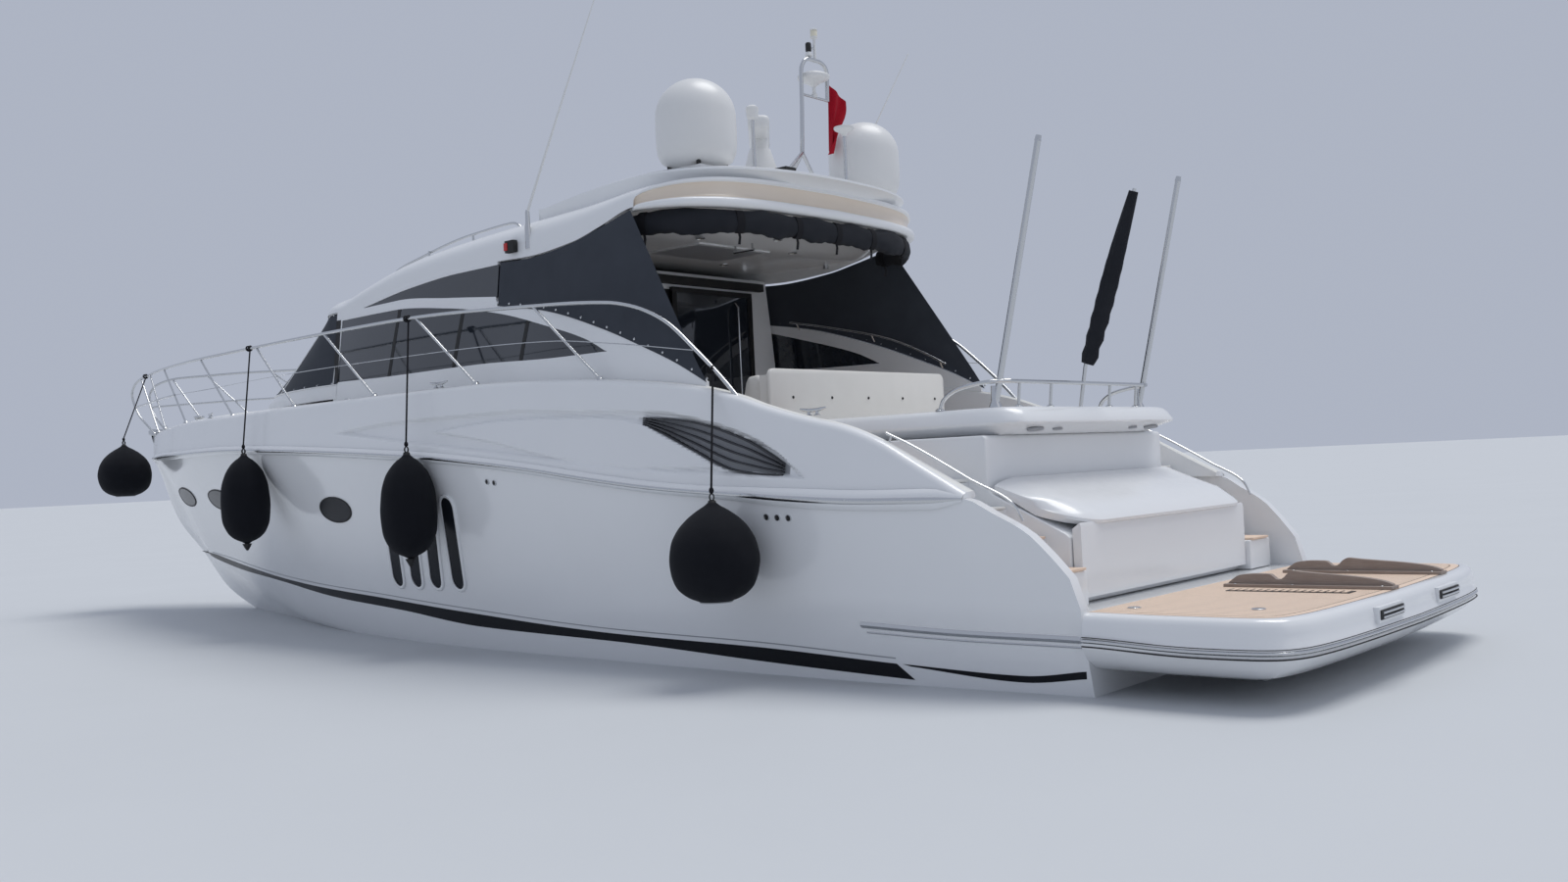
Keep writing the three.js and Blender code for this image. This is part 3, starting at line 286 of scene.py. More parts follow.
def window(shape, outline, surface, rim, proud, wide, pane):
    """A pane that follows a surface y(x, z), with a raised bezel round it."""
    def loop(out, lift):
        return [(x, surface(x, z) + lift, z) for x, z in grown(outline, out)]

    shape.grid([
        loop(wide, -0.004), loop(wide, proud * 0.6), loop(wide * 0.75, proud), loop(wide * 0.2, proud),
        loop(0.0, proud * 0.85), loop(0.0, PANE_LIFT - 0.001),
    ], rim, closed=True)
    centre = tuple(np.mean(np.array(outline), axis=0))
    rows = []
    for r in (1.0, 0.8, 0.6, 0.4, 0.2, 0.0):
        rows.append([(x, surface(x, z) + PANE_LIFT, z) for x, z in (blended(centre, p, r) for p in outline)])
    shape.grid(rows, pane, closed=True)


# Geometry Nodes: what repeats, and what follows a line

def new_tree(name, inputs):
    """A tree with named inputs, and its input and output nodes."""
    tree = bpy.data.node_groups.new(name, "GeometryNodeTree")
    tree.interface.new_socket("Geometry", in_out="INPUT", socket_type="NodeSocketGeometry")
    for label, kind in inputs:
        tree.interface.new_socket(label, in_out="INPUT", socket_type=kind)
    tree.interface.new_socket("Geometry", in_out="OUTPUT", socket_type="NodeSocketGeometry")
    return tree, tree.nodes.new("NodeGroupInput"), tree.nodes.new("NodeGroupOutput")


def realized(tree, socket, given, end):
    """Ends a tree: makes the instances real and gives them their finish."""
    for kind in ("GeometryNodeRealizeInstances", "GeometryNodeSetMaterial"):
        made = tree.nodes.new(kind)
        tree.links.new(socket, made.inputs[0])
        socket = made.outputs[0]
    tree.links.new(given.outputs["Finish"], made.inputs["Material"])
    tree.links.new(socket, end.inputs[0])


def studs_tree():
    """Sets a low domed stud on every point, its axis along the point's aim."""
    tree, given, end = new_tree("Studs", (
        ("Radius", "NodeSocketFloat"), ("Height", "NodeSocketFloat"), ("Finish", "NodeSocketMaterial"),
    ))
    ball = tree.nodes.new("GeometryNodeMeshUVSphere")
    ball.inputs["Segments"].default_value = 10
    ball.inputs["Rings"].default_value = 6
    ball.inputs["Radius"].default_value = 1.0
    size = tree.nodes.new("ShaderNodeCombineXYZ")
    for axis, label in enumerate(("Radius", "Radius", "Height")):
        tree.links.new(given.outputs[label], size.inputs[axis])
    aim = tree.nodes.new("GeometryNodeInputNamedAttribute")
    aim.data_type = "FLOAT_VECTOR"
    aim.inputs["Name"].default_value = "aim"
    turn = tree.nodes.new("FunctionNodeAlignRotationToVector")
    turn.axis = "Z"
    tree.links.new(aim.outputs["Attribute"], turn.inputs["Vector"])
    spread = tree.nodes.new("GeometryNodeInstanceOnPoints")
    tree.links.new(given.outputs["Geometry"], spread.inputs["Points"])
    tree.links.new(ball.outputs["Mesh"], spread.inputs["Instance"])
    tree.links.new(turn.outputs["Rotation"], spread.inputs["Rotation"])
    tree.links.new(size.outputs["Vector"], spread.inputs["Scale"])
    realized(tree, spread.outputs["Instances"], given, end)
    return tree


def slats_tree():
    """Draws a flat bar along every line of edges: its width level, its height upright."""
    tree, given, end = new_tree("Slats", (
        ("Width", "NodeSocketFloat"), ("Height", "NodeSocketFloat"), ("Finish", "NodeSocketMaterial"),
    ))
    section = tree.nodes.new("GeometryNodeCurvePrimitiveQuadrilateral")
    tree.links.new(given.outputs["Width"], section.inputs["Width"])
    tree.links.new(given.outputs["Height"], section.inputs["Height"])
    line = tree.nodes.new("GeometryNodeMeshToCurve")
    tree.links.new(given.outputs["Geometry"], line.inputs["Mesh"])
    level = tree.nodes.new("GeometryNodeSetCurveNormal")
    level.mode = "Z_UP"
    tree.links.new(line.outputs["Curve"], level.inputs["Curve"])
    drawn = tree.nodes.new("GeometryNodeCurveToMesh")
    tree.links.new(level.outputs["Curve"], drawn.inputs["Curve"])
    tree.links.new(section.outputs["Curve"], drawn.inputs["Profile Curve"])
    drawn.inputs["Fill Caps"].default_value = True
    realized(tree, drawn.outputs["Mesh"], given, end)
    return tree


def tree_of(name, build):
    """The tree of that name, built the first time it is asked for."""
    return bpy.data.node_groups.get(name) or build()


def by_nodes(tree, name, points, edges, aims, values, replaces=()):
    """Runs a tree on points or edges and keeps the result as a plain mesh on the boat."""
    mesh = bpy.data.meshes.new(name)
    mesh.from_pydata([(x - AMIDSHIPS, y, z) for x, y, z in points], edges, [])
    if aims:
        layer = mesh.attributes.new("aim", "FLOAT_VECTOR", "POINT")
        layer.data.foreach_set("vector", [v for aim in aims for v in aim])
    obj = bpy.data.objects.new(name, mesh)
    bpy.context.scene.collection.objects.link(obj)
    run = obj.modifiers.new("nodes", "NODES")
    run.node_group = tree
    for socket in tree.interface.items_tree:
        if socket.in_out == "INPUT" and socket.name in values:
            run[socket.identifier] = values[socket.name]
    return settled(obj, replaces, sharp=40)


def studs(name, places, radius, height, finish):
    """Studs at places of point and outward aim."""
    points = [place for place, _ in places]
    aims = [aim for _, aim in places]
    values = {"Radius": radius, "Height": height, "Finish": finishes[finish]}
    return by_nodes(tree_of("Studs", studs_tree), name, points, [], aims, values)


def slats(name, lines, width, height, finish, replaces=()):
    """Flat bars along lines of points."""
    points, edges = [], []
    for line in lines:
        start = len(points)
        points += line
        edges += [(start + i, start + i + 1) for i in range(len(line) - 1)]
    values = {"Width": width, "Height": height, "Finish": finishes[finish]}
    return by_nodes(tree_of("Slats", slats_tree), name, points, edges, [], values, replaces)


def inside_depth(points, outline):
    """How far each point lies inside an outline, and less than 0 outside it."""
    points, outline = np.array(points, float), np.array(outline, float)
    following = np.roll(outline, -1, axis=0)
    nearest = np.full(len(points), 1e9)
    crossings = np.zeros(len(points), int)
    for a, b in zip(outline, following):
        edge = b - a
        t = np.clip(((points - a) @ edge) / (edge @ edge), 0, 1)
        gap = np.linalg.norm(points - a - t[:, None] * edge, axis=1)
        nearest = np.minimum(nearest, gap)
        if a[1] != b[1]:
            spans = (points[:, 1] > min(a[1], b[1])) & (points[:, 1] <= max(a[1], b[1]))
            where = a[0] + (points[:, 1] - a[1]) * edge[0] / edge[1]
            crossings += (spans & (where > points[:, 0])).astype(int)
    return np.where(crossings % 2 == 1, nearest, -nearest)


# Finishes

class Value:
    """A socket in a finish's tree. Arithmetic on it adds Math nodes."""

    def __init__(self, finish, socket):
        self.finish = finish
        self.socket = socket

    def math(self, operation, first, second=0.0):
        return self.finish.add("ShaderNodeMath", {"operation": operation}, {0: first, 1: second})

    def __add__(self, other):
        return self.math("ADD", self, other)

    def __sub__(self, other):
        return self.math("SUBTRACT", self, other)

    def __mul__(self, other):
        return self.math("MULTIPLY", self, other)

    def over(self, other):
        return self.math("GREATER_THAN", self, other)

    def wave(self):
        return self.math("SINE", self)

    def fraction(self):
        return self.math("FRACT", self)

    def size(self):
        return self.math("ABSOLUTE", self)


class Finish:
    """One procedural material: constants on the shader, and what varies fed to it."""

    def __init__(self, name, colour, **constants):
        self.material = bpy.data.materials.new(name)
        self.material.use_nodes = True
        self.tree = self.material.node_tree
        self.shader = self.tree.nodes["Principled BSDF"]
        self.colour = (*colour, 1.0)
        self.shader.inputs["Base Color"].default_value = self.colour
        self.material.diffuse_color = self.colour
        for socket, value in constants.items():
            self.shader.inputs[socket.replace("_", " ")].default_value = value

    def add(self, kind, settings=None, inputs=None, output=0):
        node = self.tree.nodes.new(kind)
        for key, value in (settings or {}).items():
            setattr(node, key, value)
        for key, value in (inputs or {}).items():
            if isinstance(value, Value):
                self.tree.links.new(value.socket, node.inputs[key])
            else:
                node.inputs[key].default_value = value
        return Value(self, node.outputs[output])

    def place(self, scale=(1, 1, 1), turn=(0, 0, 0)):
        at = self.add("ShaderNodeTexCoord", output="Object")
        return self.add("ShaderNodeMapping", None, {"Vector": at, "Scale": scale, "Rotation": turn})

    def axes(self, vector):
        split = self.add("ShaderNodeSeparateXYZ", None, {0: vector})
        outputs = split.socket.node.outputs
        return [Value(self, outputs[i]) for i in range(3)]

    def noise(self, scale, detail=3.0, stretch=(1, 1, 1)):
        where = self.place(stretch)
        return self.add("ShaderNodeTexNoise", None, {"Vector": where, "Scale": scale, "Detail": detail})

    def mix(self, factor, first, second):
        kind = {"data_type": "RGBA"}
        named = {"Factor": factor, 6: first, 7: second}
        return self.add("ShaderNodeMix", kind, named, output=2)

    def feed(self, socket, value):
        self.tree.links.new(value.socket, self.shader.inputs[socket])

    def between(self, factor, second):
        """The finish's own colour, going to a second one where factor is 1."""
        self.feed("Base Color", self.mix(factor, self.colour, (*second, 1.0)))

    def bump(self, height, distance, strength=1.0):
        named = {"Height": height, "Distance": distance, "Strength": strength}
        self.feed("Normal", self.add("ShaderNodeBump", None, named))


def polished(name, colour, shade, roughness, coat=0.35, ripple=0.0006, gloss=0.5):
    """Gelcoat and paint: faint cloudy tone, hand-polished gloss and a long shallow ripple."""
    made = Finish(name, colour, Coat_Weight=coat, Coat_Roughness=0.05, Specular_IOR_Level=gloss)
    made.between(made.noise(1.7, 4.0), shade)
    made.feed("Roughness", made.noise(14.0, 4.0) * 0.10 + (roughness - 0.05))
    made.bump(made.noise(2.4, 2.0), ripple, 0.5)
    return made.material


def nonskid(name, colour, shade):
    """Deck gelcoat with a fine moulded grip pattern."""
    made = Finish(name, colour, Coat_Weight=0.0)
    x, y, _ = made.axes(made.place((520, 520, 520), (0, 0, 0.785)))
    grip = x.wave() * y.wave()
    made.between(made.noise(3.0, 5.0), shade)
    made.feed("Roughness", made.noise(20.0) * 0.15 + 0.38)
    made.bump(grip, 0.0008, 0.6)
    return made.material


def steel(name, colour, roughness):
    """Polished stainless tube and strip with fine wiping marks."""
    made = Finish(name, colour, Metallic=1.0)
    marks = made.noise(60.0, 6.0, (1, 1, 6))
    made.feed("Roughness", marks * 0.12 + (roughness - 0.03))
    made.bump(marks, 0.0002, 0.3)
    return made.material


def glass(name, colour, roughness):
    """Tinted glass seen from outside, with a faint dried-spray film."""
    made = Finish(name, colour, Specular_IOR_Level=0.6, Coat_Weight=0.5, Coat_Roughness=0.02)
    film = made.noise(9.0, 6.0)
    made.between(film * 0.5, tuple(c * 1.6 + 0.004 for c in colour))
    made.feed("Roughness", film * 0.08 + roughness)
    return made.material


def cloth(name, colour, shade, threads, roughness=0.85, depth=0.0006):
    """Woven canvas and mesh: crossed threads, faded patches and soft wrinkles."""
    made = Finish(name, colour, Sheen_Weight=0.04, Sheen_Roughness=0.5, Specular_IOR_Level=0.12)
    x, y, z = made.axes(made.place((threads, threads, threads)))
    weave = (x + y).wave() * z.wave()
    fade = made.noise(4.0, 6.0)
    made.between(fade, shade)
    made.feed("Roughness", fade * 0.15 + (roughness - 0.1))
    made.bump(weave * 0.4 + made.noise(11.0, 3.0) * 2.0, depth, 0.7)
    return made.material


def leather(name, colour, shade):
    """Marine vinyl with a pebbled grain and soft wear."""
    made = Finish(name, colour, Specular_IOR_Level=0.4)
    where = made.place()
    grain = made.add("ShaderNodeTexVoronoi", None, {"Vector": where, "Scale": 380.0})
    made.between(made.noise(5.0, 5.0), shade)
    made.feed("Roughness", made.noise(30.0) * 0.2 + 0.38)
    made.bump(grain + made.noise(6.0) * 0.6, 0.0005, 0.5)
    return made.material


# Stretch of the grain in timber that runs along the boat
GRAIN_ALONG = (1.2, 14, 14)


def timber(name, colour, shade):
    """Weathered timber: long grain and open pores."""
    made = Finish(name, colour)
    grain = made.noise(9.0, 8.0, GRAIN_ALONG)
    made.between(grain * 1.5 - 0.25, shade)
    made.feed("Roughness", grain * 0.2 + 0.5)
    made.bump(grain, 0.0012, 0.5)
    return made.material


def planked(name, colour, shade, caulk, width):
    """Laid teak deck: planks along the boat with dark caulked seams."""
    made = Finish(name, colour)
    x, y, _ = made.axes(made.place())
    row = y * (1.0 / width)
    seam = (row.fraction() - 0.5).size().over(0.5 - 0.0035 / width)
    grain = made.noise(9.0, 8.0, GRAIN_ALONG)
    tone = made.mix(grain * 1.5 - 0.25, made.colour, (*shade, 1.0))
    made.feed("Base Color", made.mix(seam, tone, (*caulk, 1.0)))
    made.feed("Roughness", grain * 0.2 + 0.5)
    made.bump(grain * 0.3 - seam, 0.001, 0.6)
    return made.material


def rubbery(name, colour, shade, roughness):
    """Matt rubber, caulk and plastic with a dusty bloom."""
    made = Finish(name, colour, Specular_IOR_Level=0.35)
    dust = made.noise(12.0, 6.0)
    made.between(dust, shade)
    made.feed("Roughness", dust * 0.2 + (roughness - 0.1))
    made.bump(made.noise(160.0), 0.0003, 0.4)
    return made.material


class YachtColours(bpy.types.PropertyGroup):
    """The boat's colours."""

    gelcoat: bpy.props.FloatVectorProperty(
        name="Gelcoat", description="White of the hull and deck mouldings",
        subtype="COLOR", size=3, min=0, max=1, default=(0.83, 0.84, 0.85),
    )
    stripe: bpy.props.FloatVectorProperty(
        name="Boot stripe", description="Black line over the waterline",
        subtype="COLOR", size=3, min=0, max=1, default=(0.012, 0.013, 0.016),
    )
    canvas: bpy.props.FloatVectorProperty(
        name="Canvas", description="Charcoal of the covers and curtains",
        subtype="COLOR", size=3, min=0, max=1, default=(0.035, 0.04, 0.05),
    )
    teak: bpy.props.FloatVectorProperty(
        name="Teak", description="Weathered teak of the swim platform",
        subtype="COLOR", size=3, min=0, max=1, default=(0.68, 0.52, 0.40),
    )
    glass: bpy.props.FloatVectorProperty(
        name="Glass", description="Tint of the windows",
        subtype="COLOR", size=3, min=0, max=1, default=(0.016, 0.02, 0.027),
    )


class YachtSizes(bpy.types.PropertyGroup):
    """Sizes that a user would change."""

    stations: bpy.props.IntProperty(
        name="Stations", description="Sections along the hull's length",
        default=120, min=40, max=300,
    )
    floor: bpy.props.FloatProperty(
        name="Floor", description="Half the width of the floor",
        subtype="DISTANCE", unit="LENGTH", default=400.0, min=50.0,
    )
    plank: bpy.props.FloatProperty(
        name="Plank", description="Width of one teak plank with its seam",
        subtype="DISTANCE", unit="LENGTH", default=0.062, min=0.03, max=0.2,
    )


finishes = {}


def make_finishes(colours, sizes):
    """Every material, by the name of its finish."""
    white = tuple(colours.gelcoat)
    shade = tuple(c * 0.97 for c in white)
    dark = tuple(colours.canvas)
    faded = tuple(c * 1.5 + 0.01 for c in dark)
    tint = tuple(colours.glass)
    teak = tuple(colours.teak)
    pale_teak = tuple(min(1.0, c * 1.25 + 0.05) for c in teak)
    finishes.update(
        gelcoat=polished("Hull gelcoat", white, shade, 0.16),
        deck=polished("Deck gelcoat", white, shade, 0.22, 0.2),
        grip=nonskid("Deck grip pattern", (0.80, 0.80, 0.77), (0.76, 0.76, 0.73)),
        stripe=polished("Boot stripe", tuple(colours.stripe), (0.014, 0.015, 0.018), 0.3, 0.0, gloss=0.12),
        antifoul=rubbery("Bottom paint", (0.018, 0.022, 0.03), (0.03, 0.036, 0.045), 0.8),
        steel=steel("Stainless", (0.62, 0.63, 0.64), 0.16),
        glass=glass("Tinted glass", tint, 0.03),
        port_glass=polished(
            "Hull window glass", (0.012, 0.014, 0.018), (0.018, 0.02, 0.026), 0.2, 0.0, gloss=0.1,
        ),
        screen=cloth("Screen mesh", dark, faded, 1400.0),
        curtain=cloth("Curtain mesh", tuple(c * 1.15 for c in dark), faded, 1400.0),
        canvas=cloth("Black canvas", (0.013, 0.015, 0.02), (0.028, 0.03, 0.036), 1500.0),
        fender=cloth("Fender cover", (0.006, 0.007, 0.010), (0.012, 0.013, 0.017), 1300.0, 0.9),
        vinyl=leather("Seat vinyl", (0.78, 0.76, 0.72), (0.72, 0.70, 0.66)),
        teak=planked("Laid teak", teak, pale_teak, (0.02, 0.018, 0.016), sizes.plank),
        border=timber("Teak border", teak, pale_teak),
        rope=cloth("Black rope", (0.008, 0.008, 0.01), (0.02, 0.02, 0.024), 900.0),
        chock=timber("Chock timber", (0.26, 0.20, 0.17), (0.36, 0.30, 0.26)),
        dome=polished("Dome white", (0.78, 0.78, 0.77), (0.74, 0.74, 0.73), 0.35, 0.0),
        hatch=glass("Hatch acrylic", (0.02, 0.022, 0.025), 0.08),
        bronze=steel("Bronze", (0.45, 0.26, 0.11), 0.35),
        grille=rubbery("Louvre grey", (0.30, 0.31, 0.33), (0.36, 0.37, 0.39), 0.45),
        rubber=rubbery("Black rubber", (0.012, 0.012, 0.013), (0.03, 0.03, 0.03), 0.6),
        dark=rubbery("Shadow grey", (0.05, 0.052, 0.058), (0.07, 0.072, 0.08), 0.7),
        red=cloth("Plain red flag", (0.42, 0.006, 0.02), (0.30, 0.004, 0.014), 1200.0, 0.8),
        lamp=polished("Lamp lens", (0.75, 0.70, 0.55), (0.8, 0.76, 0.62), 0.15, 0.3),
        port_light=polished("Port light", (0.55, 0.01, 0.01), (0.4, 0.01, 0.01), 0.15, 0.3),
        starboard_light=polished("Starboard light", (0.01, 0.35, 0.09), (0.01, 0.28, 0.07), 0.15, 0.3),
        # Warm white on the brim's cove under the wing: painted warm light on the white moulding
        warm=polished("Painted warm light", (0.80, 0.72, 0.62), (0.74, 0.62, 0.50), 0.25, 0.2),
    )


# The finish of each CAD node that stays, by its material slot

SLOT_FINISH = {
    "hull_gelcoat": "gelcoat", "deck_gelcoat": "deck", "strake_trim": "gelcoat",
    "teak": "teak", "chock_wood": "chock", "seat_vinyl": "vinyl", "stainless": "steel",
    "tinted_glass": "glass", "screen_mesh": "screen", "curtain_mesh": "curtain",
    "canvas_black": "canvas", "hatch_acrylic": "hatch", "dome_white": "dome",
    "fender_cover": "fender", "bronze": "bronze", "grille_grey": "grille",
}


class YachtPaint(bpy.types.Operator):
    """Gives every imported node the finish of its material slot."""

    bl_idname = "yacht.paint"
    bl_label = "Paint the packed nodes"

    def execute(self, context):
        scene = context.scene
        make_finishes(scene.yacht_colours, scene.yacht_sizes)
        slots = {part["node"]: part["material_slot"] for part in frame["record"]["subparts"]}
        for name, obj in frame["nodes"].items():
            finish = finishes[SLOT_FINISH[slots[name]]]
            if not obj.material_slots:
                obj.data.materials.append(finish)
            for slot in obj.material_slots:
                slot.material = finish
        return {"FINISHED"}


# Lines of the hull and the deck, from the same tables as the part's source

RAIL_Z = Line((1.5, 0.57), (1.53, 0.71), (1.61, 0.83), (1.74, 0.98), (1.82, 1.06), (2.05, 1.2), (2.25, 1.3),
              (3.04, 1.31), (3.63, 1.34), (4.15, 1.38), (4.99, 1.45), (5.72, 1.54), (6.5, 1.65), (7.26, 1.74),
              (7.88, 1.8), (8.68, 1.86), (9.59, 1.92), (10.89, 1.99), (12.33, 2.04), (14.07, 2.06),
              (17.5, 2.1))
DECK_Z = Line((2.25, 1.34), (2.66, 1.56), (2.98, 1.73), (3.27, 1.84), (3.6, 1.92), (3.99, 2.03), (4.22, 2.11),
              (4.67, 2.22), (5.25, 2.3), (6.27, 2.39), (7.43, 2.43), (12.16, 2.44), (13.99, 2.47),
              (17.6, 2.45))
KEEL_Z = Line((1.5, -0.6), (4, -0.7), (8, -0.78), (11, -0.75), (12.5, -0.63), (13.5, -0.44), (14.2, -0.24),
              (14.81, -0.02), (15.57, 0.28), (16.2, 0.76), (16.89, 1.24), (17.25, 1.74), (17.4, 2.02),
              (17.5, 2.08))
CHINE_Y = Line((1.5, 1.82), (3.3, 1.87), (5.84, 1.79), (8.1, 1.67), (10, 1.42), (10.7, 1.29), (12, 0.98),
               (13.5, 0.57), (14.8, 0.26), (15.6, 0.12), (16.2, 0.06), (16.89, 0.035), (17.25, 0.025),
               (17.5, 0.01))
CHINE_Z = Line((1.5, -0.14), (3.3, -0.14), (5.84, -0.1), (8.1, -0.06), (10, -0.02), (10.7, 0.0), (12, 0.07),
               (13.5, 0.22), (14.8, 0.42), (15.6, 0.6), (16.2, 0.95), (16.89, 1.36), (17.25, 1.82),
               (17.5, 2.085))
KNUCKLE_Z = Line((1.5, 0.56), (3.4, 0.57), (4.5, 0.52), (5.7, 0.43), (7, 0.34), (10, 0.42), (12, 0.6),
                 (14, 0.95), (16, 1.3), (17.25, 1.95), (17.5, 2.09))
DECK_IN = Line((2.25, 0.02), (3.2, 0.1), (14, 0.12), (17.5, 0.004))
WING_IN = Line((1.5, 0.12), (2.25, 0.0))
FLARE = Line((6, 0), (10, 0.03), (14, 0.10), (16.5, 0.05), (17.5, 0))
KNUCKLE_OUT = Line((1.5, 0.022), (4.5, 0.018), (7.4, 0.0))
HOUSE_FOOT = Line((2.25, 0.12), (3.5, 0.14), (4.6, 0.2), (6.5, 0.36), (8, 0.48), (10.6, 0.62))
DECK_CROWN = Line((10.5, 0.14), (13, 0.12), (16, 0.05), (17.6, 0.0))
SOLE_Z = 1.3
LID_Z = 0.53
SEAM = 0.0004
# Top of the bottom paint, just under the waterline
PAINT_Z = -0.03


def rail_y(x):
    """Half breadth at the rubbing strake."""
    if x < 7:
        return 2.24 - 0.11 * ((7 - x) / 5.2) ** 2
    return max(0.02, 2.24 * (1 - ((x - 7) / 10.5) ** 2.5))


def deck_y(x):
    """Half breadth at the deck edge."""
    return max(0.015, rail_y(x) - DECK_IN(x))


def top_y(x):
    """Half breadth at the hull's upper edge, drawn in at the quarter wings."""
    return rail_y(x) - (WING_IN(x) if x < 2.25 else 0.0)


def side_y(x, z):
    """Half breadth of the hull side at height z."""
    low, high = CHINE_Z(x), RAIL_Z(x)
    inner, outer = CHINE_Y(x), top_y(x)
    t = min(1.0, max(0.0, (z - low) / max(0.001, high - low)))
    ridge = KNUCKLE_OUT(x) * math.exp(-abs(z - KNUCKLE_Z(x)) / 0.16)
    edge = min(1.0, 6 * t) * min(1.0, 6 * (1 - t))
    full = t ** 0.82
    return inner + (outer - inner) * full - FLARE(x) * 4 * t * (1 - t) + ridge * edge


def upper_y(x, z):
    """Half breadth of the topside over the strake at height z."""
    low, high = RAIL_Z(x), DECK_Z(x)
    t = min(1.0, max(0.0, (z - low) / max(0.001, high - low)))
    return rail_y(x) + (deck_y(x) - rail_y(x)) * t


def hull_row(x):
    """One station of the hull, keel to rail and over the inner lip."""
    keel, chine, knuckle, rail = KEEL_Z(x), CHINE_Z(x), KNUCKLE_Z(x), RAIL_Z(x)
    knuckle = min(max(knuckle, chine + 0.01), rail - 0.01)
    made = [(x, 0.0, keel)]
    wet = min(max(PAINT_Z, keel), chine)
    for z in spaced(keel, wet, 5)[1:] + spaced(wet, chine, 4)[1:-1]:
        t = max(0.0, z - keel) / max(0.001, chine - keel)
        made.append((x, CHINE_Y(x) * t ** 0.9, z))
    heights = spaced(chine, knuckle, 9)[:-1] + spaced(knuckle, rail, 14)
    made += [(x, side_y(x, z), z) for z in heights]
    wall = min(0.1, top_y(x) * 0.5)
    lid = LID_Z if x < 3.4 else min(SOLE_Z, rail - 0.01) if x < 10.6 else rail - 0.01
    # The foot of the inner wall stays inside the flared side
    foot = min(top_y(x) - wall * 1.1, side_y(x, lid) - wall * 0.4)
    made += [(x, top_y(x) - wall, rail), (x, foot, lid), (x, 0.0, lid)]
    return made


def side_strip(shape, upper, lower, out, finish, count=90, belly=0.0, surface=side_y):
    """A band laid on the side between two paths in x and z, with a rounded outer face."""
    top, low = curve(upper, count), curve(lower, count)
    rows = []
    for r in spaced(0, 1, 5):
        swell = out + belly * math.sin(math.pi * r)
        rows.append([
            (x, surface(x, z) + swell, z) for x, z in (blended(a, b, r) for a, b in zip(top, low))
        ])
    back = [[(x, y - out - 0.004, z) for x, y, z in row] for row in (rows[-1], rows[0])]
    shape.grid(rows + back + [rows[0]], finish)
    for end in (0, -1):
        ring = [row[end] for row in rows + back]
        shape.add(ring, [tuple(range(len(ring)))], finish)


STRIPE_TOP = [(16.12, 0.77), (15.5, 0.75), (14.6, 0.68), (13.33, 0.6), (11.4, 0.51), (9.56, 0.44),
              (7.93, 0.35), (6.53, 0.27), (5.76, 0.24), (4.24, 0.21), (2.98, 0.15)]
STRIPE_LOW = [(16.12, 0.768), (15.3, 0.66), (14.2, 0.57), (12.27, 0.5), (10.72, 0.4), (9.09, 0.32),
              (7.8, 0.22), (5.76, 0.17), (4.25, 0.1), (2.85, 0.04)]
TAIL_TOP = [(2.93, 0.15), (1.99, 0.115), (1.52, 0.17)]
TAIL_LOW = [(2.86, 0.135), (1.99, 0.07), (1.52, 0.12)]
# Rise and width of the thin grey line over the boot stripe: a painted shadow line along the edge in the side there
SHADE_LINE_RISE = 0.035
SHADE_LINE_WIDE = 0.009
# Windows sunk into the hull's side; each slot leans from its foot to its head
PORTHOLES = ((15.3, 1.53, 0.5, 0.115), (13.42, 1.48, 0.5, 0.115), (9.85, 1.34, 0.32, 0.12))
SLOTS = ((8.985, 8.78), (8.633, 8.426), (8.287, 8.09), (7.917, 7.78))
SLOT_HALF = 0.088
SLOT_Z = (0.59, 1.41)
VENTS = ((7.095, 1.553, 0.018), (6.998, 1.541, 0.018), (3.922, 1.202, 0.017), (3.821, 1.196, 0.017),
         (3.718, 1.192, 0.017))


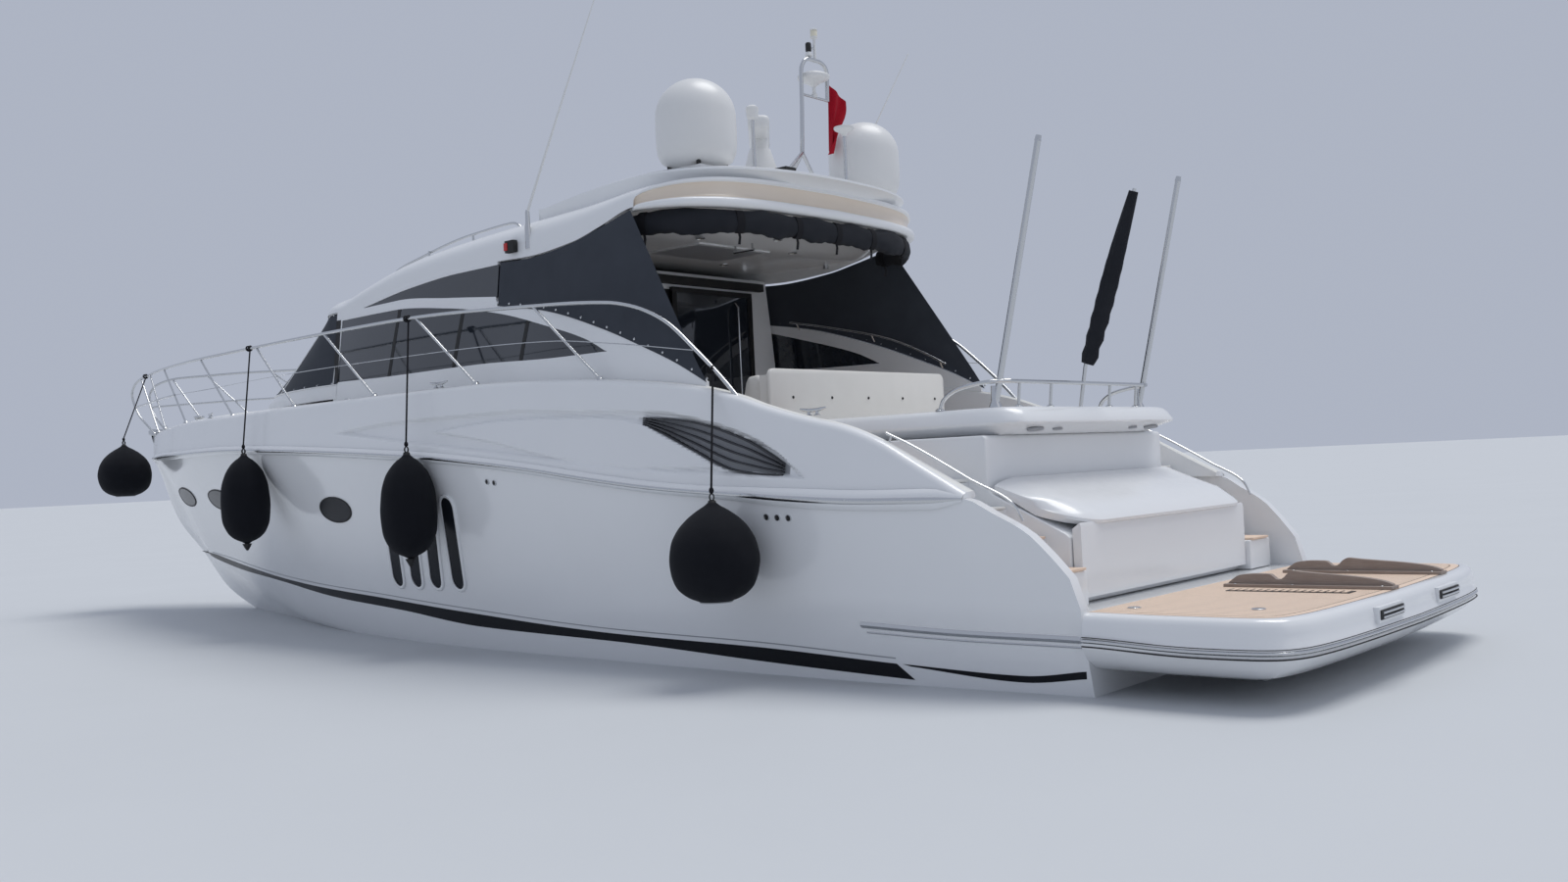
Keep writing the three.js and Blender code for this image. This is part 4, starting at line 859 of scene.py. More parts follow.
class YachtHull(bpy.types.Operator):
    """The hull shell with its shaft brackets, boot stripe, a painted shadow line over the stripe, lower strake, windows
    and vents.
    """

    bl_idname = "yacht.hull"
    bl_label = "Hull"

    def execute(self, context):
        count = context.scene.yacht_sizes.stations
        stations = spaced(1.5, 2.3, 14)[:-1] + spaced(2.3, 16.2, count)[:-1] + spaced(16.2, 17.5, 20)
        rows = [hull_row(x) for x in stations]
        hull = Shape()
        wet = 4
        hull.grid([row[:wet + 1] for row in rows], "antifoul")
        hull.grid([row[wet:] for row in rows], "gelcoat")
        hull.add(rows[0], [tuple(range(len(rows[0])))], "gelcoat")
        hull.add(rows[-1], [tuple(range(len(rows[-1])))], "gelcoat")
        hull.both_sides()
        for side in (1, -1):
            strut = Shape()
            strut.body([
                [(x0, side * 0.845, z), (x1, side * 0.83, z), (x1, side * 0.89, z), (x0, side * 0.875, z)]
                for x0, x1, z in ((2.95, 3.1, -0.25), (2.94, 3.08, -0.5), (2.93, 3.07, -0.76))
            ], "bronze")
            strut.tube([shaft_at(2.9, side), shaft_at(3.0, side), shaft_at(3.12, side)], 0.065, "bronze", 24)
            strut.done("shaft_bracket_" + side_name(side), "bronze", bevel=0.01)
        hull.done("hull_shell", "hull_gelcoat", "hull", sharp=24)

        lines = Shape()
        side_strip(lines, STRIPE_TOP, STRIPE_LOW, 0.002, "stripe", 160)
        side_strip(lines, TAIL_TOP, TAIL_LOW, 0.002, "stripe", 30)
        # A thin grey strip just over the boot stripe: painted shadow of the edge in the side
        shade_line = [(x, z + SHADE_LINE_RISE * min(1.0, (16.12 - x) / 1.5)) for x, z in STRIPE_TOP[1:]]
        side_strip(lines, [(x, z + SHADE_LINE_WIDE) for x, z in shade_line], shade_line, 0.002, "grille", 160)
        lines.both_sides()
        lines.done("boot_stripe", "hull_gelcoat")

        low = Shape()
        for top, deep, finish, belly in (
            ([(3.22, 0.445), (2.4, 0.41), (1.53, 0.395)], 0.045, "steel", 0.014),
            ([(3.18, 0.375), (2.4, 0.345), (1.53, 0.33)], 0.012, "steel", 0.004),
        ):
            side_strip(low, top, [(x, z - deep) for x, z in top], 0.004, finish, 40, belly)
        low.both_sides()
        low.done("lower_strake", "stainless")

        lights = Shape()
        for x, z, a, b in PORTHOLES:
            window(lights, oval(x, z, a, b), side_y, "rubber", 0.013, 0.014, "port_glass")
        for foot, head in SLOTS:
            ends = ((foot, SLOT_Z[0] + SLOT_HALF * 0.8), (head, SLOT_Z[1] - SLOT_HALF * 0.8))
            window(lights, stadium(*ends, SLOT_HALF), side_y, "gelcoat", 0.02, 0.03, "port_glass")
        for x, z, r in VENTS:
            window(lights, oval(x, z, r, r, 20), side_y, "steel", 0.013, 0.007, "rubber")
        lights.both_sides()
        lights.done("hull_windows", "tinted_glass", sharp=50)
        return {"FINISHED"}


def side_name(side):
    return "port" if side > 0 else "starboard"


def shaft_at(x, side=1):
    """A point on the propeller shaft's axis."""
    return (x, side * 0.86, -0.84 + (x - 2.62) * 0.15)


HOLLOW = [(9.58, 2.10), (8.42, 2.16), (6.96, 2.16), (5.73, 2.09), (5.0, 2.04), (4.5, 1.94), (4.02, 1.78),
          (3.67, 1.56), (3.55, 1.47), (4.19, 1.51), (5.39, 1.60), (6.56, 1.74), (7.91, 1.90)]
RAISED = [(7.9, 2.03), (6.99, 2.08), (5.6, 2.03), (4.9, 1.86), (4.37, 1.575), (5.1, 1.60), (5.78, 1.66),
          (7.23, 1.93)]
INTAKE = [(5.33, 2.02), (4.7, 1.95), (4.18, 1.80), (3.72, 1.55), (3.73, 1.50), (4.21, 1.54), (4.71, 1.74)]
INTAKE_TOP = [(5.33, 2.02), (4.7, 1.95), (4.18, 1.80), (3.9, 1.66), (3.72, 1.55)]
INTAKE_LOW = [(5.33, 2.0), (4.95, 1.85), (4.71, 1.74), (4.21, 1.54), (3.9, 1.505), (3.72, 1.50)]
HOLLOW_DEEP = 0.045
RAISED_PROUD = 0.03
INTAKE_DEEP = 0.07


def rounded(outline, count):
    """A closed outline, smoothed and evenly spaced."""
    loop = list(outline) + [outline[0]]
    return curve(loop, count)[:-1]


def topside_drop(points):
    """How far the sculpted hollow sets each point of the topside in."""
    outer = inside_depth(points, rounded(HOLLOW, 90))
    inner = inside_depth(points, rounded(RAISED, 70))
    hole = inside_depth(points, rounded(INTAKE, 60))
    drops = []
    for a, b, c in zip(outer, inner, hole):
        drop = HOLLOW_DEEP * soft_step(a, -0.008, 0.032) - RAISED_PROUD * soft_step(b, -0.014, 0.014)
        drops.append(max(drop, INTAKE_DEEP * soft_step(c, -0.004, 0.008)))
    return drops


class YachtDeck(bpy.types.Operator):
    """The deck moulding: sculpted topsides, side decks and foredeck."""

    bl_idname = "yacht.deck"
    bl_label = "Deck moulding"

    def execute(self, context):
        deck = Shape()
        stations = spaced(2.25, 3.5, 26)[:-1] + spaced(3.5, 9.7, 250)[:-1] + spaced(9.7, 10.62, 10)
        levels = 46
        heights = [spaced(RAIL_Z(x) + SEAM, DECK_Z(x) - 0.05, levels) for x in stations]
        flat = [(x, z) for x, row in zip(stations, heights) for z in row]
        drops = topside_drop(flat)
        rows = []
        for i, x in enumerate(stations):
            drop = drops[i * levels:(i + 1) * levels]
            row = [(x, upper_y(x, z) - d, z) for z, d in zip(heights[i], drop)]
            row += deck_round(x)
            inner = rail_y(x) - HOUSE_FOOT(x) - 0.05
            row += [(x, inner + 0.02, DECK_Z(x) + 0.006), (x, inner, DECK_Z(x) - 0.01),
                    (x, inner, RAIL_Z(x) + SEAM)]
            rows.append(row)
        walked = levels + 5
        deck.grid([row[:walked + 1] for row in rows], "deck")
        deck.grid([row[walked:walked + 3] for row in rows], "grip")
        deck.grid([row[walked + 2:] for row in rows], "deck")
        deck.add(rows[0], [tuple(range(len(rows[0])))], "deck")
        deck.grid([[row[-1], row[0]] for row in rows], "deck")
        fore = []
        for x in spaced(10.6, 16.8, 90)[:-1] + spaced(16.8, 17.5, 16):
            low = RAIL_Z(x) + SEAM
            row = [(x, upper_y(x, z), z) for z in spaced(low, DECK_Z(x) - 0.05, 10)]
            row += deck_round(x)
            inner, crown = deck_y(x) - 0.06, DECK_CROWN(x)
            row += [
                (x, inner * r, DECK_Z(x) + crown * (1 - r ** 2.4))
                for r in (0.96, 0.9, 0.82, 0.72, 0.6, 0.45, 0.3, 0.15, 0)
            ]
            fore.append(row)
        edge = 17
        deck.grid([row[:edge + 1] for row in fore], "deck")
        deck.grid([row[edge:] for row in fore], "grip")
        deck.add(fore[-1], [tuple(range(len(fore[-1])))], "deck")
        deck.both_sides()
        plinth = Shape()
        plinth.block((14.26, -0.34, 2.4), (14.94, 0.34, 2.58), "deck")
        plinth.done("hatch_plinth", "deck_gelcoat", bevel=0.02)
        deck.done("deck_shell", "deck_gelcoat", "deck_moulding", sharp=28)

        lower, upper = heights_of(INTAKE_LOW), heights_of(INTAKE_TOP)
        for side in (1, -1):
            lines = []
            for share in (0.04, 0.27, 0.5, 0.73, 0.96):
                line = []
                for x in spaced(3.78, 5.2, 40):
                    z = lower(x) + (upper(x) - lower(x)) * share
                    line.append((x, side * (upper_y(x, z) - INTAKE_DEEP * 0.55), z))
                lines.append(line)
            node = "intake_grille_" + side_name(side)
            slats("louvres_" + side_name(side), lines, 0.036, 0.010, "dark", replaces=node)
            back = Shape()
            rows = []
            for share in spaced(0.0, 1.0, 6):
                row = []
                for x in spaced(3.74, 5.26, 40):
                    z = lower(x) + (upper(x) - lower(x)) * share
                    row.append((x, side * (upper_y(x, z) - INTAKE_DEEP + 0.004), z))
                rows.append(row)
            back.grid(rows, "grille")
            back.done("louvre_back_" + side_name(side), "grille_grey", thick=0.003)
        return {"FINISHED"}


def deck_round(x):
    """The rounded edge between topside and deck."""
    out, top = deck_y(x), DECK_Z(x)
    radius = min(0.05 + 0.045 * soft_step(x, 12.0, 15.0), out * 0.4)
    made = []
    for k in range(6):
        a = math.pi / 2 * k / 5
        lean = upper_y(x, top - 0.05) - out
        y = out - radius + radius * math.cos(a) + lean * (1 - k / 5)
        made.append((x, y, top - 0.05 + 0.05 * math.sin(a)))
    return made


class YachtStrake(bpy.types.Operator):
    """The rubbing strake: a moulded ledge with a stainless strip, wider on the quarter."""

    bl_idname = "yacht.strake"
    bl_label = "Rubbing strake"

    def execute(self, context):
        for side in (1, -1):
            ledge, strip = Shape(), Shape()
            stations = spaced(2.25, 16.6, 150)[:-1] + spaced(16.6, 17.44, 24)
            profile = [(-0.05, 0.0), (-0.036, 0.02), (-0.018, 0.03), (0.016, 0.03), (0.032, 0.02),
                       (0.045, 0.0)]
            rings = []
            metal = []
            for x in stations:
                wide = (1 + 0.5 * (1 - soft_step(x, 3.4, 4.6))) * (0.25 + 0.75 * soft_step(x, 2.2, 2.5))
                proud = 0.2 + 0.8 * soft_step(x, 2.2, 2.6)
                y, z = rail_y(x), RAIL_Z(x)
                rings.append([(x, side * (y + out * proud), z + up * wide) for up, out in profile])
                metal.append([
                    (x, side * (y + (0.024 + out) * proud), z + (up - 0.006) * wide)
                    for up, out in ((-0.018, 0.0), (-0.012, 0.009), (0.0, 0.013), (0.012, 0.009),
                                    (0.018, 0.0))
                ])
            ledge.body(rings, "gelcoat")
            strip.body(metal, "steel")
            keeps = ("rubbing_strake",) if side > 0 else ()
            ledge.done("strake_" + side_name(side), "strake_trim", keeps, sharp=40)
            strip.done("strake_strip_" + side_name(side), "stainless", sharp=40)
        nose = Shape()
        bow = [(17.40, 0.0, 2.06), (17.46, 0.0, 2.09), (17.46, 0.0, 2.12), (17.40, 0.0, 2.15)]
        nose.tube(bow, 0.035, "steel", 16)
        nose.done("bow_cap", "stainless")
        return {"FINISHED"}


# Lines of the house and the hardtop

FOOT_Y = Line((4.4, 2.02), (5.5, 1.97), (6.5, 1.92), (7.5, 1.82), (8.9, 1.72), (9.9, 1.64), (10.3, 1.6))
SHOULDER_Y = Line((4.4, 1.86), (5.5, 1.84), (6.5, 1.78), (7.5, 1.70), (8.9, 1.62), (9.9, 1.54), (10.3, 1.5))
EAVE_Z = Line((4.4, 3.76), (5.5, 3.76), (5.95, 3.66), (6.3, 3.59), (6.9, 3.55), (7.5, 3.57), (8.9, 3.55),
              (9.9, 3.47), (10.3, 3.42))
CROWN_Z = Line((4.4, 4.0), (6.5, 4.0), (7.5, 3.98), (8.9, 3.93), (9.9, 3.8), (10.3, 3.72))
SQUARE = Line((4.4, 4.4), (7.5, 4.0), (8.9, 3.2), (10.3, 2.2))
SCREEN_X = 10.3
SCREEN_BASE = (3.0, 1.6, 2.56)
SCREEN_HEAD = (1.1, 1.47, 3.42)
SILL_Z = 2.64
CEILING_Z = 3.66
BRIM_LOW = 3.735


def house_y(x, z):
    """Half breadth of the house side at height z."""
    foot, head, top = FOOT_Y(x), SHOULDER_Y(x), EAVE_Z(x)
    t = min(1.0, max(0.0, (z - 2.4) / (top - 2.4)))
    return foot + (head - foot) * t ** 1.25


def screen_point(share, turn, out=0.0):
    """A point on the raked windscreen: share up from base to head, turn from the side to the centreline."""
    a, b, z = blended(SCREEN_BASE, SCREEN_HEAD, share)
    return (SCREEN_X + (a + out) * math.sin(turn), (b + out) * math.cos(turn), z)


def roof_point(x, r):
    """A point on the roof: r runs from 0 on the centreline to 1 at the eave."""
    if x <= SCREEN_X:
        wide, low, high, n = SHOULDER_Y(x), EAVE_Z(x), CROWN_Z(x), SQUARE(x)
    else:
        d = min(1.0, (x - SCREEN_X) / SCREEN_HEAD[0])
        wide = SHOULDER_Y(SCREEN_X) * math.sqrt(1 - d * d)
        low, n = SCREEN_HEAD[2], 2.2
        high = low + 0.3 * math.sqrt(1 - d * d)
    rise = max(0.0, 1 - min(1.0, abs(r)) ** n) ** (1 / n)
    return (x, wide * r, low + (high - low) * rise)


GLASS_TOP = [(10.28, 3.32), (9.16, 3.31), (8.2, 3.22), (7.37, 3.08), (6.66, 2.90), (6.04, 2.71), (5.81, 2.6)]
GLASS_LOW = [(10.28, 2.67), (9.28, 2.65), (7.71, 2.64), (6.42, 2.595), (5.81, 2.59)]
UPPER_TOP = [(9.79, 3.405), (8.87, 3.50), (8.08, 3.54), (7.42, 3.54)]
UPPER_LOW = [(9.79, 3.40), (9.12, 3.40), (8.2, 3.32), (7.42, 3.24)]
CURTAIN_TOP = [(7.38, 3.55), (6.93, 3.53), (6.32, 3.575), (5.95, 3.645), (5.53, 3.74)]
CURTAIN_LOW = [(7.38, 3.15), (6.63, 3.02), (5.86, 2.79), (5.29, 2.57), (4.94, 2.42), (4.60, 2.24)]


def heights_of(path):
    """A line of z over x from a path that runs forward to aft."""
    return Line(*[(x, z) for x, z in reversed(path)])


class YachtHouse(bpy.types.Operator):
    """The white house walls: sill, arch and eave strips round the windows."""

    bl_idname = "yacht.house"
    bl_label = "House walls"

    def execute(self, context):
        low, top = heights_of(GLASS_LOW), heights_of(GLASS_TOP)
        upper_low, upper_top = heights_of(UPPER_LOW), heights_of(UPPER_TOP)
        arch = heights_of(CURTAIN_LOW)
        wall = Shape()
        sill_rows, arch_rows, eave_rows = [], [], []
        for x in spaced(4.62, 10.36, 160):
            foot = DECK_Z(x)
            sill = low(x) if x > 5.81 else min(2.59, arch(x))
            head = top(x) if x > 5.81 else sill
            if x > 10.28:
                head = sill
            crest = arch(x) if x < 7.4 else upper_low(x) if x < 9.79 else EAVE_Z(x)
            sill_rows.append([(x, house_y(x, z), z) for z in spaced(foot, sill, 8)])
            arch_rows.append([(x, house_y(x, z), z) for z in spaced(head, max(head, crest), 9)])
            if x >= 7.4:
                crown = upper_top(x) if x < 9.79 else EAVE_Z(x)
                eave_rows.append([(x, house_y(x, z), z) for z in spaced(crown, EAVE_Z(x) + 0.012, 3)])
        wall.grid(sill_rows, "deck")
        wall.grid(arch_rows, "deck")
        wall.grid(eave_rows, "deck")
        turns = spaced(0, math.pi / 2, 60)
        base = (SILL_Z - SCREEN_BASE[2]) / (SCREEN_HEAD[2] - SCREEN_BASE[2])
        rows = []
        for share in (0.0, base / 2, base):
            rows.append([screen_point(share, turn) for turn in turns])
        foot = [(x, y, min(z, DECK_Z(x) + DECK_CROWN(x) - 0.08)) for x, y, z in rows[0]]
        wall.grid([foot, *rows], "deck")
        wall.both_sides()
        wall.done("house_walls", "deck_gelcoat", "deckhouse", sharp=40, thick=0.035)
        return {"FINISHED"}


class YachtGlass(bpy.types.Operator):
    """The tinted side windows with their black bonded edges."""

    bl_idname = "yacht.glass"
    bl_label = "Side windows"

    def execute(self, context):
        for name, upper, lower in (("lower", GLASS_TOP, GLASS_LOW), ("upper", UPPER_TOP, UPPER_LOW)):
            for side in (1, -1):
                pane = Shape()
                rows = patch(upper, lower, 60, 12, house_y, -0.006)
                pane.grid([[(x, side * y, z) for x, y, z in row] for row in rows], "glass")
                node = name + "_side_glass_" + side_name(side)
                pane.done(name + "_window_" + side_name(side), "tinted_glass", node, thick=0.012)
        bars = Shape()
        # Dark band between the side glass and the windscreen's cover
        front = [(10.36, z) for z in spaced(2.66, 3.33, 10)]
        side_strip(bars, front, [(x - 0.08, z) for x, z in front], 0.004, "rubber", 12, 0.0, house_y)
        for x in (9.25, 8.1, 7.0):
            path = [(x, z) for z in spaced(heights_of(GLASS_LOW)(x), heights_of(GLASS_TOP)(x), 10)]
            side_strip(bars, [(x + 0.028 - (z - 2.6) * 0.25, z) for x, z in path],
                       [(x - 0.028 - (z - 2.6) * 0.25, z) for x, z in path],
                       -0.004, "rubber", 12, 0.0, house_y)
        bars.both_sides()
        bars.done("window_bars", "tinted_glass")
        return {"FINISHED"}


class YachtHardtop(bpy.types.Operator):
    """The hardtop: roof skin, deep aft brim and the ceiling under it."""

    bl_idname = "yacht.hardtop"
    bl_label = "Hardtop"

    def execute(self, context):
        top = Shape()
        across = [math.sin(math.pi / 2 * r) for r in spaced(0, 1, 34)]
        aft = Line((0.0, 4.80), (0.38, 4.84), (0.65, 4.92), (0.86, 5.1), (0.96, 5.32), (1.0, 5.5))
        rows = []
        for t in [1 - math.cos(math.pi / 2 * s) for s in spaced(0, 1, 60)]:
            rows.append([roof_point(aft(r) + (SCREEN_X - aft(r)) * t, r) for r in across])
        for t in [math.sin(math.pi / 2 * s) for s in spaced(0, 1, 22)][1:]:
            rows.append([roof_point(SCREEN_X + SCREEN_HEAD[0] * t, r) for r in across])
        top.grid(rows, "deck")
        # Share of the brim's depth and reach aft: a cove under the wing, painted warm white as painted warm light, then
        # a thin rounded lip
        section = ((0.0, 0.0), (0.1, 0.0), (0.14, -0.016), (0.35, -0.03), (0.58, -0.018), (0.66, 0.004),
                   (0.70, 0.024), (0.78, 0.034), (0.9, 0.032), (0.98, 0.018), (1.0, -0.01), (0.98, -0.08),
                   (0.72, -0.3))
        brim = []
        for down, out in section:
            ring = []
            for r, (x, y, z) in zip(across, rows[0]):
                depth = max(0.0, z - BRIM_LOW)
                ring.append((x - out, y * (1 + out * 0.3), z - depth * down if r < 0.999 else z))
            brim.append(ring)
        top.grid(brim[:3], "deck")
        top.grid(brim[2:6], "warm")
        top.grid(brim[5:], "deck")
        ceiling = []
        for t in spaced(0, 1, 16):
            ring = []
            for r, (x, y, z) in zip(across, brim[-1]):
                ahead = x + (7.5 - x) * t
                roof = roof_point(ahead, r)
                flat = max(EAVE_Z(ahead) - 0.004, min(roof[2] - 0.13, CEILING_Z))
                ring.append((ahead, roof[1] * 0.985, flat if t else z))
            ceiling.append(ring)
        top.grid(ceiling, "deck")
        top.both_sides()
        top.done("hardtop_shell", "deck_gelcoat", "hardtop", sharp=50)
        return {"FINISHED"}


# Middle of the rolled canvas under the brim, and the sections that its straps draw in
ROLL = [(5.62, 1.74, 3.64), (5.46, 1.69, 3.635), (5.22, 1.57, 3.628), (4.98, 1.28, 3.624), (4.87, 0.9, 3.622),
        (4.83, 0.45, 3.62), (4.82, 0.0, 3.62)]
STRAPS = (3, 26, 44, 59, 74, 92, 115)


class YachtCanvas(bpy.types.Operator):
    """The windscreen cover, the side curtains and the rolled canvas under the brim."""

    bl_idname = "yacht.canvas"
    bl_label = "Covers and curtains"

    def execute(self, context):
        turns = spaced(0, math.pi / 2, 70)
        shares = spaced(0.1, 1.0, 16)
        cover = Shape()
        rows = []
        for share in shares:
            ring = []
            for turn in turns:
                slack = 0.006 * math.sin(math.pi * (share - 0.1) / 0.9) * abs(math.sin(turn * 5))
                ring.append(screen_point(share, turn, 0.004 - slack))
            rows.append([(x, -y, z) for x, y, z in ring[:-1]] + list(reversed(ring)))
        cover.grid(rows, "screen")
        made = cover.done("screen_cover", "screen_mesh", "windscreen_cover")
        piping = Shape()
        for share in (0.1, 1.0):
            path = [screen_point(share, turn, 0.006) for turn in turns]
            piping.tube(path, 0.007, "deck", 6)
        for turn in (0.02, 0.55, 1.1):
            piping.tube([screen_point(share, turn, 0.006) for share in shares], 0.006, "deck", 6)
        piping.both_sides()
        piping.done("cover_piping", "screen_mesh")
        for side in (1, -1):
            curtain = Shape()
            rows = patch(CURTAIN_TOP, CURTAIN_LOW, 60, 26, house_y, 0.006)
            curtain.grid([[(x, side * y, z) for x, y, z in row] for row in rows], "curtain")
            node = "side_curtain_" + side_name(side)
            made = curtain.done("curtain_" + side_name(side), "curtain_mesh", node)
        snaps = []
        for x, z in curve(CURTAIN_LOW, 17):
            snaps += [((x, side * (house_y(x, z) + 0.008), z + 0.03), (0, side, 0.1)) for side in (1, -1)]
        for share, count in ((0.12, 15), (0.98, 12)):
            for turn in spaced(0.03, math.pi / 2, count):
                x, y, z = screen_point(share, turn, 0.007)
                aim = (math.sin(turn), math.cos(turn), 0.5)
                snaps.append(((x, y, z), aim))
                if y > 0.01:
                    snaps.append(((x, -y, z), (aim[0], -aim[1], aim[2])))
        studs("canvas_snaps", snaps, 0.011, 0.006, "steel")

        roll, straps = Shape(), Shape()
        half = curve(ROLL, 60)
        path = half + [(x, -y, z) for x, y, z in reversed(half[:-1])]
        roll.body([roll_ring(path, i) for i in range(len(path))], "canvas")
        made = roll.done("canvas_roll", "canvas_black", "rolled_canvas", sharp=70)
        for i in STRAPS:
            straps.body([roll_ring(path, k, 0.004, i) for k in (i - 1, i, i + 1)], "rope")
            x, y, z = path[i]
            tail = [(x, y, z - 0.09), (x - 0.01, y + 0.004, z - 0.13), (x - 0.004, y + 0.01, z - 0.19)]
            straps.body([[
                (a - 0.002, b - 0.014, c), (a + 0.002, b - 0.014, c),
                (a + 0.002, b + 0.014, c), (a - 0.002, b + 0.014, c)
            ] for a, b, c in tail], "rope")
        straps.done("roll_straps", "canvas_black", sharp=60)
        return {"FINISHED"}


def roll_ring(path, i, out=0.0, held=None):
    """One section of the rolled canvas: thin and deep, drawn in under a strap, wavy at its lower edge."""
    before, after = Vector(path[max(i - 1, 0)]), Vector(path[min(i + 1, len(path) - 1)])
    across = (after - before).cross(Vector((0, 0, 1))).normalized()
    centre = Vector(path[i])
    near = min(abs(i - k) for k in STRAPS) if held is None else 0
    full = 0.84 + 0.16 * soft_step(near, 0.0, 7.0)
    ends = 0.7 + 0.3 * soft_step(min(i, len(path) - 1 - i), -1.0, 3.0)
    ring = []
    for k in range(26):
        a = math.tau * k / 26
        fold = 1 + 0.05 * math.sin(3 * a + 0.35 * i) + 0.03 * math.sin(7 * a - 0.6 * i)
        if held is not None:
            fold = 1.05
        wide = (0.055 * fold * full + out) * math.cos(a) * ends
        tall = (0.106 * fold * full + out) * math.sin(a) * ends
        if math.sin(a) < 0 and held is None:
            tall *= 1 + 0.10 * math.sin(0.55 * i) + 0.05 * math.sin(1.7 * i)
        ring.append(centre + across * wide + Vector((0, 0, tall)))
    return ring


PLATFORM = [(1.5, 2.01), (0.95, 2.06), (0.6, 2.065), (0.4, 2.05), (0.24, 1.99), (0.15, 1.86), (0.11, 1.7),
            (0.07, 1.3), (0.045, 0.7), (0.03, 0)]
PLATFORM_Z = 0.55


def drawn_in(path, inset):
    """A plan path drawn inwards, its first point kept on the hull's seam."""
    made = []
    for i, (x, y) in enumerate(path):
        before, after = path[max(i - 1, 0)], path[min(i + 1, len(path) - 1)]
        dx, dy = after[0] - before[0], after[1] - before[1]
        long = math.hypot(dx, dy)
        u, v = -dy / long, dx / long
        made.append((min(1.5, x + u * inset) if i else x, max(0.0, y + v * inset)))
    return [(x, 0.0 if i == len(path) - 1 else y) for i, (x, y) in enumerate(made)]


class YachtPlatform(bpy.types.Operator):
    """The swim platform with its lip, steps, laid teak deck and tender chocks."""

    bl_idname = "yacht.platform"
    bl_label = "Swim platform"

    def execute(self, context):
        edge = curve(PLATFORM, 70)
        base = Shape()
        section = [(0.9, 0.17), (0.5, 0.15), (0.32, 0.155), (0.17, 0.19), (0.07, 0.25), (0.02, 0.31),
                   (0.0, 0.34), (0.0, 0.385), (0.012, 0.40), (0.016, 0.46), (0.022, 0.50), (0.034, 0.528),
                   (0.052, 0.543), (0.075, 0.5485), (0.105, 0.549)]
        rows = [[(x, y, z) for x, y in drawn_in(edge, inset)] for inset, z in section]
        base.grid(rows, "gelcoat")
        base.grid([rows[-1], [(x, 0.0, 0.549) for x, _, _ in rows[-1]]], "gelcoat")
        base.grid([rows[0], [(x, 0.0, 0.17) for x, _, _ in rows[0]]], "gelcoat")
        seam = [row[0] for row in rows] + [(1.5, 0.0, 0.549), (1.5, 0.0, 0.17)]
        base.add(seam, [tuple(range(len(seam)))], "gelcoat")
        base.both_sides()
        base.done("platform_moulding", "hull_gelcoat", "swim_platform", sharp=50)

        lip = Shape()
        for low, high, out, finish in ((0.337, 0.366, 0.012, "steel"), (0.312, 0.322, 0.008, "rubber"),
                                       (0.372, 0.378, 0.006, "rubber")):
            rows = []
            for r in spaced(0, 1, 6):
                belly = out * math.sin(math.pi * r)
                # The lip climbs forward to meet the strip on the hull
                rows.append([
                    (x, y, low + (high - low) * r + 0.026 * soft_step(x, 0.7, 1.5))
                    for x, y in drawn_in(edge, 0.001 - belly)
                ])
            lip.grid(rows, finish)
        lip.both_sides()
        lip.done("platform_lip", "stainless")

        deck = Shape()
        border = [[(x, y, PLATFORM_Z + lift) for x, y in drawn_in(edge, inset)]
                  for inset, lift in ((0.115, -0.003), (0.115, 0.0), (0.175, 0.0), (0.175, -0.003))]
        deck.grid(border, "border")
        inner = drawn_in(edge, 0.181)
        field = [[(x, y, PLATFORM_Z) for x, y in inner], [(x, y * 0.5, PLATFORM_Z) for x, y in inner],
                 [(x, 0.0, PLATFORM_Z) for x, y in inner]]
        deck.grid(field, "teak")
        deck.both_sides()
        deck.done("platform_teak", "teak", "platform_deck")
        bed = Shape()
        wide = drawn_in(edge, 0.11)
        bed.grid([[(x, y * out, PLATFORM_Z - 0.001) for x, y in wide] for out in (1.0, 0.0)], "rubber")
        bed.both_sides()
        bed.done("teak_caulk", "teak")

        steps = Shape()
        for y in (0.35, -0.95):
            for k, (inset, finish) in enumerate(((0.0, "gelcoat"), (0.02, "rubber"))):
                low = (0.035 - 0.008 * k, y + inset, 0.405 + inset)
                steps.block(low, (0.1, y + 0.5 - inset, 0.505 - inset), finish)
            for z in (0.44, 0.468):
                bar = [(0.022, y + 0.04, z), (0.018, y + 0.25, z), (0.022, y + 0.46, z)]
                steps.tube(bar, 0.008, "steel", 10)
        steps.block((0.34, 0.33, PLATFORM_Z), (1.19, 0.47, PLATFORM_Z + 0.004), "rubber")
        for k in range(16):
            x = 0.365 + k * 0.051
            steps.block((x, 0.34, PLATFORM_Z + 0.003), (x + 0.03, 0.46, PLATFORM_Z + 0.008), "border")
        ring = [(0.045, PLATFORM_Z), (0.045, PLATFORM_Z + 0.004), (0.038, PLATFORM_Z + 0.008),
                (0.005, PLATFORM_Z + 0.008)]
        for x, y in ((1.32, 1.62), (0.55, 1.5), (1.32, -1.62), (0.55, -1.5)):
            steps.turned(x, y, ring, "steel", 28)
        steps.done("platform_steps", "stainless")

        crest = Line((0.16, 0.585), (0.22, 0.606), (0.36, 0.628), (0.76, 0.66), (0.83, 0.667), (0.87, 0.648),
                     (0.91, 0.61), (0.94, 0.604), (1.0, 0.642), (1.1, 0.644), (1.22, 0.632), (1.3, 0.58))
        for side, y in (("port", 0.12), ("starboard", -1.03)):
            chock = Shape()
            outline = [(x, crest(x)) for x in spaced(0.16, 1.3, 60)] + [(1.3, 0.556), (0.16, 0.556)]
            chock.panel(outline, y - 0.026, y + 0.026, "chock")
            chock.block((0.15, y - 0.075, PLATFORM_Z + SEAM), (1.32, y + 0.075, 0.572), "chock")
            for x in (0.22, 0.83, 1.24):
                chock.turned(x, y + 0.052, [(0.009, 0.57), (0.011, 0.574), (0.006, 0.577)], "steel", 14)
                chock.turned(x, y - 0.052, [(0.009, 0.57), (0.011, 0.574), (0.006, 0.577)], "steel", 14)
            chock.done("chock_" + side, "chock_wood", "tender_chock_" + side, bevel=0.004)
        return {"FINISHED"}


BODY_Y = 1.42
